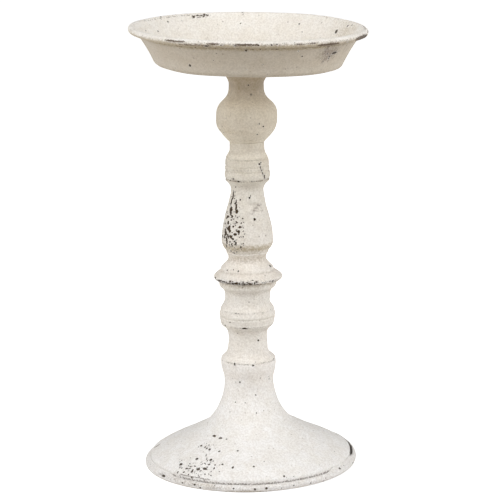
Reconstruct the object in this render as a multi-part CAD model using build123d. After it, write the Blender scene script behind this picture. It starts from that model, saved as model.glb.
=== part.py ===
"""Pillar candlestick of painted sheet steel, 305 mm tall.

Six spun and turned shells stand on one another between a shallow candle pan
and a domed foot.  A threaded rod runs up the middle: a washer and nut inside
the foot pull the stack down against a coupling nut under the top shell, and a
countersunk screw in the floor of the pan closes the stack from above.

Frame: millimetres, +Z up, origin at the centre of the circle the foot stands
on.  Everything is a solid of revolution about Z except the hexagon nuts.
"""
from build123d import *
from math import cos, radians, sin, sqrt, tan
import os

# ---------------------------------------------------------------- sheet and wire
sheet_thickness = 0.9         # pan and foot
shell_wall = 1.2              # turned stem pieces
wire_diameter = 3.0           # wire inside both rolled edges
wire_clearance = 0.05         # between the wire and the sheet rolled over it

# ---------------------------------------------------------------- heights, bottom to top
foot_height = 74.1
shoulder_height = 24.9
vase_height = 31.5
disc_height = 20.0
pear_height = 49.8
collar_height = 26.1
knop_height = 52.6
pan_height = 26.0

# ---------------------------------------------------------------- joints in the stem
foot_joint_radius = 18.8      # foot to shoulder neck
vase_joint_radius = 18.0      # shoulder neck to banded vase
ring_joint_radius = 19.6      # banded vase to disc collar
pear_joint_radius = 14.6      # disc collar to pear body
collar_joint_radius = 15.3    # pear body to banded collar
knop_joint_radius = 11.95     # banded collar to upper knop
register_radius = 8.0         # raised boss that centres one piece in the next
register_height = 1.8
register_clearance = 0.2

# ---------------------------------------------------------------- pan
pan_edge_radius = 80.9        # to the outside of the rolled edge
pan_floor_radius = 60.4       # flat part of the floor
pan_corner_inside = 3.0       # inside bend between floor and wall
pan_wall_lean_low = 24.0      # degrees from upright
pan_wall_lean_high = 34.0
pan_edge_wrap = 294.0         # degrees of roll

# ---------------------------------------------------------------- foot
foot_edge_radius = 73.8       # to the outside of the rolled edge
foot_rest_width = 1.4         # flat worn on the underside of the rolled edge
foot_barrel_radius = 19.05
foot_barrel_low = 70.8        # height of the barrel's lower end
foot_barrel_high = 72.6
foot_waist_radius = 17.15
foot_waist_high = 59.6
foot_waist_low = 57.8
foot_flare_radius = 32.8      # where the flare runs out into the dome
foot_flare_height = 27.3
foot_dome_lean = 60.8         # degrees from upright
foot_brim_lean = 56.0
foot_brim_radius = 67.6
foot_brim_height = 9.2
foot_brim_bend_inside = 1.1
foot_edge_wrap = 298.0

# ---------------------------------------------------------------- shoulder neck
shoulder_band = 0.7           # upright edge above the foot
shoulder_neck_radius = 13.4
shoulder_neck_low = 15.1
shoulder_neck_high = 16.6

# ---------------------------------------------------------------- banded vase
vase_foot_radius = 18.55
vase_foot_height = 2.0
vase_band_radius = 19.3
vase_band_low = 7.3
vase_band_high = 7.9
vase_crease_radius = 18.4
vase_crease_height = 11.4
vase_waist_radius = 15.75
vase_waist_low = 18.1
vase_waist_high = 20.7
vase_ring_radius = 19.9
vase_ring_low = 29.0
vase_ring_high = 30.9

# ---------------------------------------------------------------- disc collar
disc_radius = 23.4
disc_chamfer = 1.2
disc_rim_height = 2.0
disc_step_radius = 18.25
disc_step_low = 7.0
disc_step_high = 8.5
disc_neck_radius = 12.9
disc_neck_height = 14.9
disc_band_radius = 14.5       # upright band under the pear
disc_band_low = 19.0

# ---------------------------------------------------------------- pear body
pear_band_radius = 14.8       # the same band, above the joint
pear_band_high = 0.9
pear_belly_lean = 40.0        # degrees from upright, where the belly leaves the band
pear_radius = 17.7
pear_crest = 8.2
pear_neck_radius = 11.3
pear_neck_height = 42.5

# ---------------------------------------------------------------- banded collar
collar_lip_radius = 15.7
collar_lip_low = 1.6
collar_lip_high = 3.5
collar_barrel_radius = 15.3
collar_barrel_low = 6.2
collar_top_radius = 14.85
collar_barrel_high = 14.1
collar_neck_height = 21.4
groove_width = 1.3
groove_depth = 0.4
collar_grooves = (6.4, 9.6, 14.6)
vase_groove = 5.8

# ---------------------------------------------------------------- upper knop
knop_start_lean = 45.0        # degrees from upright, where the ball leaves the joint
knop_radius = 20.7
knop_crest_low = 16.3
knop_crest_high = 18.4
knop_neck_radius = 11.95
knop_neck_low = 37.1
knop_neck_high = 39.6
knop_flange_radius = 19.5
knop_flange_lean = 33.0

# ---------------------------------------------------------------- fasteners, M6
rod_diameter = 6.0
rod_hole_radius = 3.3
thread_clearance = 0.05       # stands for the fit of the threads
rod_end_below_nut = 4.0
nut_across_flats = 10.0
foot_nut_height = 5.0
spring_washer_radius = 5.5
spring_washer_thickness = 1.6
spring_washer_gap = 0.8
washer_outer_radius = 14.0
washer_thickness = 1.5
washer_bore_radius = 3.25
coupling_length = 18.0
screw_head_diameter = 12.0
screw_length = 12.0           # below the top of its head
screw_socket_flats = 4.0
screw_socket_depth = 1.9
rod_to_screw = 1.0            # between their ends inside the coupling nut
nest_clearance = 0.1          # between the dimple of the pan and its nest
nest_wall = 1.2
nest_boss_radius = 6.0
rod_chamfer = 0.7

# ---------------------------------------------------------------- worked out from the above
shoulder_base = foot_height
vase_base = shoulder_base + shoulder_height
disc_base = vase_base + vase_height
pear_base = disc_base + disc_height
collar_base = pear_base + pear_height
knop_base = collar_base + collar_height
pan_base = knop_base + knop_height
pan_floor = pan_base + sheet_thickness

wire_radius = wire_diameter / 2
edge_radius = wire_radius + sheet_thickness
pan_wire = (pan_edge_radius - edge_radius, pan_base + pan_height - edge_radius)
foot_wire = (foot_edge_radius - edge_radius, sqrt(edge_radius**2 - (foot_rest_width / 2) ** 2))

head_radius = screw_head_diameter / 2
rod_radius = rod_diameter / 2
dimple_radius = head_radius + sheet_thickness * (sqrt(2) - 1)
nest_radius = dimple_radius + nest_clearance * sqrt(2)
nest_bottom = pan_base - (nest_radius - rod_hole_radius)
coupling_top = nest_bottom - nest_wall
coupling_bottom = coupling_top - coupling_length
screw_end = pan_floor - screw_length
rod_top = screw_end - rod_to_screw

plate_under = foot_height - sheet_thickness
washer_under = plate_under - washer_thickness
spring_under = washer_under - spring_washer_thickness
nut_under = spring_under - foot_nut_height
rod_bottom = nut_under - rod_end_below_nut


# ---------------------------------------------------------------- drawing helpers
def curve(start, end, lean_start=0.0, lean_end=0.0, pull_start=0.35, pull_end=0.35):
    """Cubic from start to end, both (radius, height).

    Leans are degrees from upright, outwards positive, in the direction of
    travel; pulls are the handles as shares of the distance between the ends.
    """
    start = Vector(start)
    end = Vector(end)
    span = (end - start).length
    way = 1 if end.Y > start.Y else -1
    leaving = Vector(sin(radians(lean_start)), way * cos(radians(lean_start)))
    arriving = Vector(sin(radians(lean_end)), way * cos(radians(lean_end)))
    return Bezier(start, start + leaving * pull_start * span, end - arriving * pull_end * span, end)


def turned(drawing):
    """Solid of revolution of a flat drawing in (radius, height)."""
    return revolve(Plane.XZ * drawing, Axis.Z, 360)


def turned_polygon(*points):
    return turned(make_face(Polyline(*points, close=True)))


def ring(inner, outer, low, high):
    """Ring of square section or, with inner 0, a disc."""
    return turned_polygon((inner, low), (outer, low), (outer, high), (inner, high))


def groove(radius, height):
    """Round-bottomed groove to cut into a surface of this radius."""
    ball = (groove_width**2 / 4 + groove_depth**2) / (2 * groove_depth)
    return turned(Pos(radius + ball - groove_depth, height) * Circle(ball))


def radius_between(low, high, height):
    """Radius at a height on the straight side between two points (radius, height)."""
    share = (height - low[1]) / (high[1] - low[1])
    return low[0] + share * (high[0] - low[0])


def register(height):
    """Boss on top of a piece that centres the next one."""
    return ring(rod_hole_radius, register_radius, height, height + register_height)


# ---------------------------------------------------------------- turned stem shells
def filled(edges):
    """Solid inside an outline drawn upwards, closed to the axis."""
    start = edges[0] @ 0
    end = edges[-1] @ 1
    back = Polyline((end.X, end.Y), (0, end.Y), (0, start.Y), (start.X, start.Y))
    return turned(make_face([*edges, *back.edges()]))


def hollow_shell(edges):
    """Shell inside an outline drawn upwards from height 0.

    The base is open where it takes the register below it, and the top plate
    is open where the rod goes through.
    """
    top = (edges[-1] @ 1).Y
    inner_edges = [Pos(-shell_wall, 0) * edge for edge in edges]
    hollow = filled(inner_edges) & ring(0, top, shell_wall, top - shell_wall)
    mouth = ring(0, register_radius + register_clearance, -shell_wall, 2 * shell_wall)
    rod_hole = ring(0, rod_hole_radius, top - 2 * shell_wall, top + shell_wall)
    return filled(edges) - hollow - mouth - rod_hole


def shoulder_neck():
    band = (foot_joint_radius, shoulder_band)
    neck_low = (shoulder_neck_radius, shoulder_neck_low)
    neck_high = (shoulder_neck_radius, shoulder_neck_high)
    edges = [
        Line((foot_joint_radius, 0), band),
        curve(band, neck_low, lean_start=-32, pull_start=0.26, pull_end=0.84),
        Line(neck_low, neck_high),
        curve(neck_high, (vase_joint_radius, shoulder_height), lean_end=22, pull_start=0.71, pull_end=0.19),
    ]
    return Pos(0, 0, shoulder_base) * (hollow_shell(edges) + register(shoulder_height))


def banded_vase():
    foot_edge = (vase_foot_radius, vase_foot_height)
    band_low = (vase_band_radius, vase_band_low)
    band_high = (vase_band_radius, vase_band_high)
    crease = (vase_crease_radius, vase_crease_height)
    waist_low = (vase_waist_radius, vase_waist_low)
    waist_high = (vase_waist_radius, vase_waist_high)
    ring_low = (vase_ring_radius, vase_ring_low)
    ring_high = (vase_ring_radius, vase_ring_high)
    edges = [
        curve((vase_joint_radius, 0), foot_edge, lean_start=25, lean_end=4),
        Line(foot_edge, band_low),
        Line(band_low, band_high),
        curve(band_high, crease, lean_start=-30, lean_end=-4),
        curve(crease, waist_low, lean_start=-32, pull_start=0.45, pull_end=0.45),
        Line(waist_low, waist_high),
        curve(waist_high, ring_low, pull_start=0.68, pull_end=0.42),
        Line(ring_low, ring_high),
        Line(ring_high, (ring_joint_radius, vase_height)),
    ]
    groove_radius = radius_between(foot_edge, band_low, vase_groove)
    shell = hollow_shell(edges) - groove(groove_radius, vase_groove)
    return Pos(0, 0, vase_base) * (shell + register(vase_height))


def disc_collar():
    rim_low = (disc_radius, disc_chamfer)
    rim_high = (disc_radius, disc_rim_height)
    step_low = (disc_step_radius, disc_step_low)
    step_high = (disc_step_radius, disc_step_high)
    neck = (disc_neck_radius, disc_neck_height)
    band_low = (disc_band_radius, disc_band_low)
    edges = [
        Line((disc_radius - disc_chamfer, 0), rim_low),
        Line(rim_low, rim_high),
        curve(rim_high, step_low, lean_end=-48, pull_start=0.28, pull_end=0.3),
        Line(step_low, step_high),
        curve(step_high, neck, lean_start=-44, pull_start=0.5, pull_end=0.16),
        curve(neck, band_low, lean_end=48),
        Line(band_low, (pear_joint_radius, disc_height)),
    ]
    return Pos(0, 0, disc_base) * (hollow_shell(edges) + register(disc_height))


def pear_body():
    band_high = (pear_band_radius, pear_band_high)
    crest = (pear_radius, pear_crest)
    neck = (pear_neck_radius, pear_neck_height)
    edges = [
        Line((pear_joint_radius, 0), band_high),
        curve(band_high, crest, lean_start=pear_belly_lean),
        curve(crest, neck, pull_start=0.32, pull_end=0.22),
        curve(neck, (collar_joint_radius, pear_height), lean_end=19, pull_start=0.54, pull_end=0.22),
    ]
    return Pos(0, 0, pear_base) * (hollow_shell(edges) + register(pear_height))


def banded_collar():
    lip_low = (collar_lip_radius, collar_lip_low)
    lip_high = (collar_lip_radius, collar_lip_high)
    barrel_low = (collar_barrel_radius, collar_barrel_low)
    barrel_high = (collar_top_radius, collar_barrel_high)
    neck = (knop_joint_radius, collar_neck_height)
    edges = [
        Line((collar_joint_radius, 0), lip_low),
        Line(lip_low, lip_high),
        curve(lip_high, barrel_low),
        Line(barrel_low, barrel_high),
        curve(barrel_high, neck, pull_start=0.28, pull_end=0.38),
        Line(neck, (knop_joint_radius, collar_height)),
    ]
    shell = hollow_shell(edges)
    for height in collar_grooves:
        shell -= groove(radius_between(barrel_low, barrel_high, height), height)
    return Pos(0, 0, collar_base) * (shell + register(collar_height))


def upper_knop():
    """Ball and neck under the pan, with the nest for the dimple in its floor."""
    crest_low = (knop_radius, knop_crest_low)
    crest_high = (knop_radius, knop_crest_high)
    neck_low = (knop_neck_radius, knop_neck_low)
    neck_high = (knop_neck_radius, knop_neck_high)
    flange = (knop_flange_radius, knop_height)
    edges = [
        curve((knop_joint_radius, 0), crest_low, lean_start=knop_start_lean, pull_start=0.51, pull_end=0.44),
        Line(crest_low, crest_high),
        curve(crest_high, neck_low, pull_start=0.52, pull_end=0.45),
        Line(neck_low, neck_high),
        curve(neck_high, flange, lean_end=knop_flange_lean, pull_start=0.16, pull_end=0.5),
    ]
    shell = Pos(0, 0, knop_base) * hollow_shell(edges)
    boss = turned_polygon(
        (0, coupling_top),
        (nest_boss_radius, coupling_top),
        (nest_boss_radius + nest_wall, pan_base - shell_wall),
        (0, pan_base - shell_wall),
    )
    nest = turned_polygon(
        (0, nest_bottom),
        (nest_radius - (pan_base - nest_bottom), nest_bottom),
        (nest_radius, pan_base),
        (0, pan_base),
    )
    return shell + boss - nest - ring(0, rod_hole_radius, coupling_top - 1, pan_base)


# ---------------------------------------------------------------- sheet pan and foot
def rolled_edge(centre, start_angle, wrap):
    """The sheet where it is rolled over its wire."""
    inner = CenterArc(centre, wire_radius, start_angle, wrap)
    outer = CenterArc(centre, edge_radius, start_angle, wrap)
    return turned(make_face([inner, outer, Line(inner @ 0, outer @ 0), Line(inner @ 1, outer @ 1)]))


def sheet(skin):
    """Sheet between the two faces that skin draws for the depths 0 and one thickness."""
    outside = skin(0)
    inside = skin(sheet_thickness)
    ends = [Line(outside[0] @ 0, inside[0] @ 0), Line(outside[-1] @ 1, inside[-1] @ 1)]
    return turned(make_face([*outside, *inside, *ends]))


def pan_skin(depth):
    """Underside of the pan at depth 0, from the screw hole to where the roll starts."""
    floor = pan_base + depth
    reach = wire_radius + depth
    lean = radians(pan_wall_lean_high)
    roll_start = (pan_wire[0] - reach * cos(lean), pan_wire[1] + reach * sin(lean))
    screw_hole = rod_radius + thread_clearance
    dimple_edge = dimple_radius - depth * (sqrt(2) - 1)
    corner = CenterArc(
        (pan_floor_radius, pan_floor + pan_corner_inside),
        pan_corner_inside + sheet_thickness - depth,
        -90,
        90 - pan_wall_lean_low,
    )
    return [
        Line((screw_hole, floor - (dimple_edge - screw_hole)), (dimple_edge, floor)),
        Line((dimple_edge, floor), (pan_floor_radius, floor)),
        corner,
        curve(corner @ 1, roll_start, pan_wall_lean_low, pan_wall_lean_high, 0.40, 0.25),
    ]


def pan():
    """Dished pan: dimpled floor, leaning wall, and an edge rolled outwards over its wire."""
    return sheet(pan_skin) + rolled_edge(pan_wire, 180 - pan_wall_lean_high, -pan_edge_wrap)


def foot_skin(depth):
    """Outside of the foot at depth 0, from the rod hole down to where the roll starts."""
    top = foot_height - depth
    barrel = foot_barrel_radius - depth
    waist = foot_waist_radius - depth
    wall = foot_wire[0] - wire_radius - depth
    dome = radians(foot_dome_lean)
    brim = radians(foot_brim_lean)
    flare_end = (foot_flare_radius - depth * cos(dome), foot_flare_height - depth * sin(dome))
    brim_end = (foot_brim_radius - depth * cos(brim), foot_brim_height - depth * sin(brim))
    outer_bend = foot_brim_bend_inside + sheet_thickness
    bend_centre_radius = foot_wire[0] - wire_radius - outer_bend
    run_out = bend_centre_radius + outer_bend * cos(brim) - foot_brim_radius
    bend_centre_height = foot_brim_height - run_out / tan(brim) - outer_bend * sin(brim)
    bend = CenterArc(
        (bend_centre_radius, bend_centre_height), outer_bend - depth, foot_brim_lean, -foot_brim_lean
    )
    return [
        Line((rod_hole_radius, top), (foot_joint_radius - depth, top)),
        Line((foot_joint_radius - depth, top), (barrel, foot_barrel_high)),
        Line((barrel, foot_barrel_high), (barrel, foot_barrel_low)),
        curve((barrel, foot_barrel_low), (waist, foot_waist_high), pull_start=0.40, pull_end=0.45),
        Line((waist, foot_waist_high), (waist, foot_waist_low)),
        curve((waist, foot_waist_low), flare_end, lean_end=foot_dome_lean, pull_end=0.27),
        curve(flare_end, brim_end, foot_dome_lean, foot_brim_lean, pull_start=0.58),
        Line(brim_end, bend @ 0),
        bend,
        Line(bend @ 1, (wall, foot_wire[1])),
    ]


def foot():
    """Domed foot: flat top plate, waist, flare, dome, and an edge rolled outwards and up."""
    shell = sheet(foot_skin) + rolled_edge(foot_wire, 180, foot_edge_wrap) + register(foot_height)
    return shell - ring(0, foot_edge_radius + 1, -1, 0)


def rim_wire(centre):
    """Wire that a rolled edge is closed over."""
    return turned(Pos(*centre) * Circle(wire_radius - wire_clearance))


# ---------------------------------------------------------------- fasteners
def hex_nut(low, high):
    """Hexagon nut with its corners chamfered at both ends."""
    corner_radius = nut_across_flats / sqrt(3)
    chamfer_drop = (corner_radius - nut_across_flats / 2) * tan(radians(30))
    blank = Pos(0, 0, low) * extrude(RegularPolygon(corner_radius, 6), high - low)
    turned_corners = turned_polygon(
        (0, low),
        (nut_across_flats / 2, low),
        (corner_radius, low + chamfer_drop),
        (corner_radius, high - chamfer_drop),
        (nut_across_flats / 2, high),
        (0, high),
    )
    return (blank & turned_corners) - ring(0, rod_radius + thread_clearance, low - 1, high + 1)


def tie_rod():
    return turned_polygon(
        (0, rod_bottom),
        (rod_radius - rod_chamfer, rod_bottom),
        (rod_radius, rod_bottom + rod_chamfer),
        (rod_radius, rod_top - rod_chamfer),
        (rod_radius - rod_chamfer, rod_top),
        (0, rod_top),
    )


def foot_washer():
    return ring(washer_bore_radius, washer_outer_radius, washer_under, plate_under)


def spring_washer():
    """Split ring, cut at a slant."""
    whole = ring(washer_bore_radius, spring_washer_radius, spring_under, washer_under)
    middle = (washer_bore_radius + spring_washer_radius) / 2
    split = Box(spring_washer_radius, spring_washer_gap, 4 * spring_washer_thickness)
    return whole - Pos(middle, 0, (spring_under + washer_under) / 2) * Rot(30, 0, 0) * split


def pan_screw():
    """Countersunk socket screw, its head level with the floor of the pan."""
    top_radius = head_radius - thread_clearance
    blank = turned_polygon(
        (0, screw_end),
        (rod_radius - rod_chamfer, screw_end),
        (rod_radius, screw_end + rod_chamfer),
        (rod_radius, pan_floor - (top_radius - rod_radius)),
        (top_radius, pan_floor),
        (0, pan_floor),
    )
    socket = extrude(RegularPolygon(screw_socket_flats / sqrt(3), 6), -screw_socket_depth)
    return blank - Pos(0, 0, pan_floor) * socket


nodes = {
    "pan": pan(),
    "pan_rim_wire": rim_wire(pan_wire),
    "pan_screw": pan_screw(),
    "upper_knop": upper_knop(),
    "coupling_nut": hex_nut(coupling_bottom, coupling_top),
    "banded_collar": banded_collar(),
    "pear_body": pear_body(),
    "disc_collar": disc_collar(),
    "banded_vase": banded_vase(),
    "shoulder_neck": shoulder_neck(),
    "foot": foot(),
    "foot_rim_wire": rim_wire(foot_wire),
    "tie_rod": tie_rod(),
    "foot_washer": foot_washer(),
    "spring_washer": spring_washer(),
    "foot_nut": hex_nut(nut_under, spring_under),
}

os.makedirs("parts", exist_ok=True)
for name, solid in nodes.items():
    export_step(solid, f"parts/{name}.step")
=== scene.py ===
"""Looks of the pillar candlestick: chipped cream paint over dark sheet steel.

Each painted shell, and the wire in each rolled edge, is turned again from the
section of its CAD node, with softer edges, small dents and a slight lean.  It
carries values for its worn and dirty places, and for where shade is painted on,
in vertex attributes.  The fasteners keep their CAD shapes.

Lengths are in millimetres up to where a mesh is made; floor, lamps and camera
are in metres.  Angles in the tables are in degrees, 0 at the front and more
than 0 to its right.
"""
import math

import bmesh
import bpy
import numpy as np
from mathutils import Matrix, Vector


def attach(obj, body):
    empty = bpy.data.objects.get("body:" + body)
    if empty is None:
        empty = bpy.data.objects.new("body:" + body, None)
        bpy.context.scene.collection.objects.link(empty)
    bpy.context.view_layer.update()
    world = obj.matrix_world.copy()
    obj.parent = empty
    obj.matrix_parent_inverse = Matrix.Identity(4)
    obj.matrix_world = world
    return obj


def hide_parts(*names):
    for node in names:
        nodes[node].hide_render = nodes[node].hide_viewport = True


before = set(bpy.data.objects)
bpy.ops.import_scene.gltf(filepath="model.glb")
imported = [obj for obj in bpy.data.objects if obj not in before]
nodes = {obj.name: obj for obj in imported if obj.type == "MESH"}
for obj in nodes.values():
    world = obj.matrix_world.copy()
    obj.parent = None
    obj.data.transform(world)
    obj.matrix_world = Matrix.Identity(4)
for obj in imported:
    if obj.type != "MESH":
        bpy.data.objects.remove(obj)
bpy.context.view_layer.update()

MM = 0.001
BODY = "root"


# ------------------------------------------------------------------ sections
CUT_AZIMUTH = math.radians(0.7)   # off the seam of the CAD mesh
SAME_DECIMALS = 5                 # places that agree to this many decimals are one point
SHORTEST_LEG = 1e-3               # points nearer than this to the next are dropped
CORNER_TURN = math.radians(32.0)  # a sharper turn than this stays a corner
DENSE_STEP = 0.1                  # spacing of the points of a fine outline
BLUR_WIDTH = 3                    # how many times its reach an average takes in each way
TINY = 1e-6                       # keeps a division by a length of 0 away


def points_of(mesh):
    """The mesh's points, in millimetres."""
    points = np.zeros(len(mesh.vertices) * 3)
    mesh.vertices.foreach_get("co", points)
    return points.reshape(-1, 3) / MM


def section(node):
    """The node cut by a half plane through the axis: a counterclockwise ring of (radius, height)."""
    mesh = nodes[node].data
    mesh.calc_loop_triangles()
    points = points_of(mesh)
    corners = np.zeros(len(mesh.loop_triangles) * 3, int)
    mesh.loop_triangles.foreach_get("vertices", corners)
    corners = corners.reshape(-1, 3)
    across = points[:, 1] * math.cos(CUT_AZIMUTH) - points[:, 0] * math.sin(CUT_AZIMUTH)
    along = points[:, 0] * math.cos(CUT_AZIMUTH) + points[:, 1] * math.sin(CUT_AZIMUTH)
    flat = np.stack((along, points[:, 2]), 1)
    beyond = across > 0
    mixed = beyond[corners].any(1) & ~beyond[corners].all(1)
    neighbours = {}
    for triangle in corners[mixed]:
        ends = []
        for one, two in ((0, 1), (1, 2), (2, 0)):
            near, far = triangle[one], triangle[two]
            if beyond[near] == beyond[far]:
                continue
            if beyond[near]:
                near, far = far, near
            share = across[near] / (across[near] - across[far])
            place = flat[near] + share * (flat[far] - flat[near])
            ends.append((round(place[0], SAME_DECIMALS), round(place[1], SAME_DECIMALS)))
        if ends[0][0] > 0 and ends[0] != ends[1]:
            neighbours.setdefault(ends[0], []).append(ends[1])
            neighbours.setdefault(ends[1], []).append(ends[0])
    start = max(neighbours)
    ring = [start]
    last, here = None, start
    while True:
        following = [p for p in neighbours[here] if p != last]
        last, here = here, following[0]
        if here == start:
            break
        ring.append(here)
    ring = np.array(ring)
    ahead = np.roll(ring, -1, 0)
    area = (ring[:, 0] * ahead[:, 1] - ahead[:, 0] * ring[:, 1]).sum() / 2
    return ring if area > 0 else ring[::-1]


def flowing(ring):
    """A smooth curve through the ring's points, broken only at its sharp corners."""
    legs = np.roll(ring, -1, 0) - ring
    ring = ring[np.hypot(legs[:, 0], legs[:, 1]) > SHORTEST_LEG]
    before, after = np.roll(ring, 1, 0), np.roll(ring, -1, 0)
    heading_in = np.arctan2(*(ring - before).T[::-1])
    heading_out = np.arctan2(*(after - ring).T[::-1])
    turn = np.abs((heading_out - heading_in + math.pi) % (2 * math.pi) - math.pi)
    sharp = turn > CORNER_TURN
    dense = []
    count = len(ring)
    for i in range(count):
        p1, p2 = ring[i], ring[(i + 1) % count]
        p0 = p1 if sharp[i] else ring[i - 1]
        p3 = p2 if sharp[(i + 1) % count] else ring[(i + 2) % count]
        length = np.hypot(*(p2 - p1))
        steps = max(1, int(length / DENSE_STEP))
        reach_in = length / max(np.hypot(*(p2 - p0)), TINY)
        reach_out = length / max(np.hypot(*(p3 - p1)), TINY)
        pull_in, pull_out = (p2 - p0) * reach_in, (p3 - p1) * reach_out
        t = (np.arange(steps) / steps)[:, None]
        dense.append(
            (2 * t**3 - 3 * t**2 + 1) * p1 + (t**3 - 2 * t**2 + t) * pull_in
            + (3 * t**2 - 2 * t**3) * p2 + (t**3 - t**2) * pull_out
        )
    return np.concatenate(dense)


def travel(ring):
    """Distance along the ring to each of its points, and its whole length."""
    legs = np.roll(ring, -1, 0) - ring
    reached = np.cumsum(np.hypot(legs[:, 0], legs[:, 1]))
    return np.concatenate(([0.0], reached[:-1])), reached[-1]


def spaced(ring, count):
    """The ring with that many points, evenly spaced along it."""
    place, length = travel(ring)
    wanted = np.arange(count) * length / count
    closed = np.concatenate((ring, ring[:1]))
    place = np.concatenate((place, [length]))
    return np.stack([np.interp(wanted, place, closed[:, k]) for k in (0, 1)], 1)


def blurred(values, reach):
    """Values around a ring, averaged with their neighbours over about that many points each way."""
    half = max(1, int(BLUR_WIDTH * reach))
    offsets = np.arange(-half, half + 1)
    weights = np.exp(-0.5 * (offsets / max(reach, TINY)) ** 2)
    weights /= weights.sum()
    return sum(w * np.roll(values, o, 0) for o, w in zip(offsets, weights))


def bend_of(ring, step, reach):
    """How sharply the ring turns at each point, in radians a millimetre: more than 0 where it bulges."""
    legs = np.roll(ring, -1, 0) - ring
    heading = np.arctan2(legs[:, 1], legs[:, 0])
    turn = (heading - np.roll(heading, 1) + math.pi) % (2 * math.pi) - math.pi
    return blurred(turn / step, reach / step)


# ------------------------------------------------------------------ how it has settled
WANDER = (                        # height of the axis, and how far it stands to the right
    (0, 0.0), (60, 0.1), (82, -0.5), (112, -0.45), (122, -0.05), (131, 0.25), (136, 0.2),
    (141, -0.05), (150, 0.45), (180, 0.6), (199, 1.2), (215, 1.05), (230, 1.3), (262, 1.5),
    (278.9, 2.2), (279, 3.0), (310, 2.85),
)
STILL_CORE = (4, 9)               # radii between which points start to move in and out
RIM_PART = (26, 60)               # radii between which the stem's unevenness gives way to a rim's

PAN_SEAT = 279.0                  # underside of the pan, where it turns
PAN_FROM = PAN_SEAT - 0.01        # anything higher is the pan
PAN_TOP = 305.0
FLOOR_DROP = math.radians(1.85)   # the floor of the pan hangs down to the right by this much
RIM_DROP = math.radians(1.53)     # and its rim by this much
NECK_BEND_LOW = 262.0             # the neck under the pan takes up the tilt from here

FOOT_TOP = 74.2                   # anything lower is the foot
SKIN_STARTS = (22, 34)            # radii between which the foot's skin starts to be uneven
SKIN_ENDS = (60, 70)              # and between which it is even again
LIFT_STARTS = (22, 40)            # radii between which the foot starts to stand off the ground unevenly
BEAD_FROM = 66                    # radius at which the foot's rolled edge starts
BEAD_BEND = (118, 26, 1.6)        # rolled edge bent up: angle, spread and height of the bend
BEAD_BEND_ENDS = (5.8, 9.5)       # heights between which that bend dies out

SEAM_OPEN = ((0, 46), (105, 23), (180, 46))  # where the foot's seam isn't bridged: angle and half width
SEAM_LOW, SEAM_HIGH = 4.2, 4.9    # heights of the part that is drawn up as a bridge of paint elsewhere
SEAM_INNER = 70.3                 # radius from which it is drawn up
SEAM_OUTER = (70.4, 72.4)         # radii between which that dies out
BRIDGE_RUN_OUT = 7                # angle over which a bridge starts beside an open stretch
BRIDGE_LIFT, BRIDGE_IN = 1.9, 0.5  # how far up and in it is drawn


def smooth_step(value, low, high):
    """0 up to low, 1 from high on, and eased between them."""
    share = np.clip((value - low) / (high - low), 0, 1)
    return share * share * (3 - 2 * share)


def turned_from(angle, degrees):
    """How far each angle is from a direction in degrees, in radians either way."""
    return (angle - math.radians(degrees) + math.pi) % (2 * math.pi) - math.pi


def ripple(angle, height, waves):
    """A gentle unevenness made of a few waves."""
    return sum(
        size * np.sin(lobes * angle + height * up * 2 * math.pi * MM + phase)
        for lobes, up, size, phase in waves
    )


# waves: (lobes round the axis, waves a metre up, size, phase in radians)
STEM_WAVES = (
    (1, 9, 0.10, 0.4), (2, 14, 0.09, 2.1), (3, 23, 0.07, 4.0), (2, -31, 0.06, 1.3),
    (5, 37, 0.045, 5.2), (7, -52, 0.035, 0.9), (9, 71, 0.03, 3.3), (4, 95, 0.03, 2.6),
)
PAN_EDGE_WAVES = (
    (0, 0, 0.24, -1.57), (1, 0, 0.48, -1.57), (2, 0, 0.13, 1.57), (3, 0, 0.22, 0.3),
    (5, 0, 0.13, 2.2), (9, 0, 0.05, 4.1),
)
PAN_ROUND_WAVES = ((2, 0, 0.35, 6.0), (3, 0, 0.18, 5.1), (7, 0, 0.06, 0.8))
FOOT_ROUND_WAVES = ((2, 0, 0.30, 0.6), (3, 0, 0.20, 3.8), (6, 0, 0.08, 1.9))
FOOT_LIFT_WAVES = ((0, 0, 0.15, 1.57), (1, 0, 0.59, 0.0), (2, 0, 0.15, -1.57), (3, 0, 0.12, 3.14))
FOOT_SKIN_WAVES = ((3, 12, 0.12, 0.2), (4, -22, 0.10, 3.1), (7, 31, 0.06, 1.2), (11, -14, 0.04, 5.0))


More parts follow.
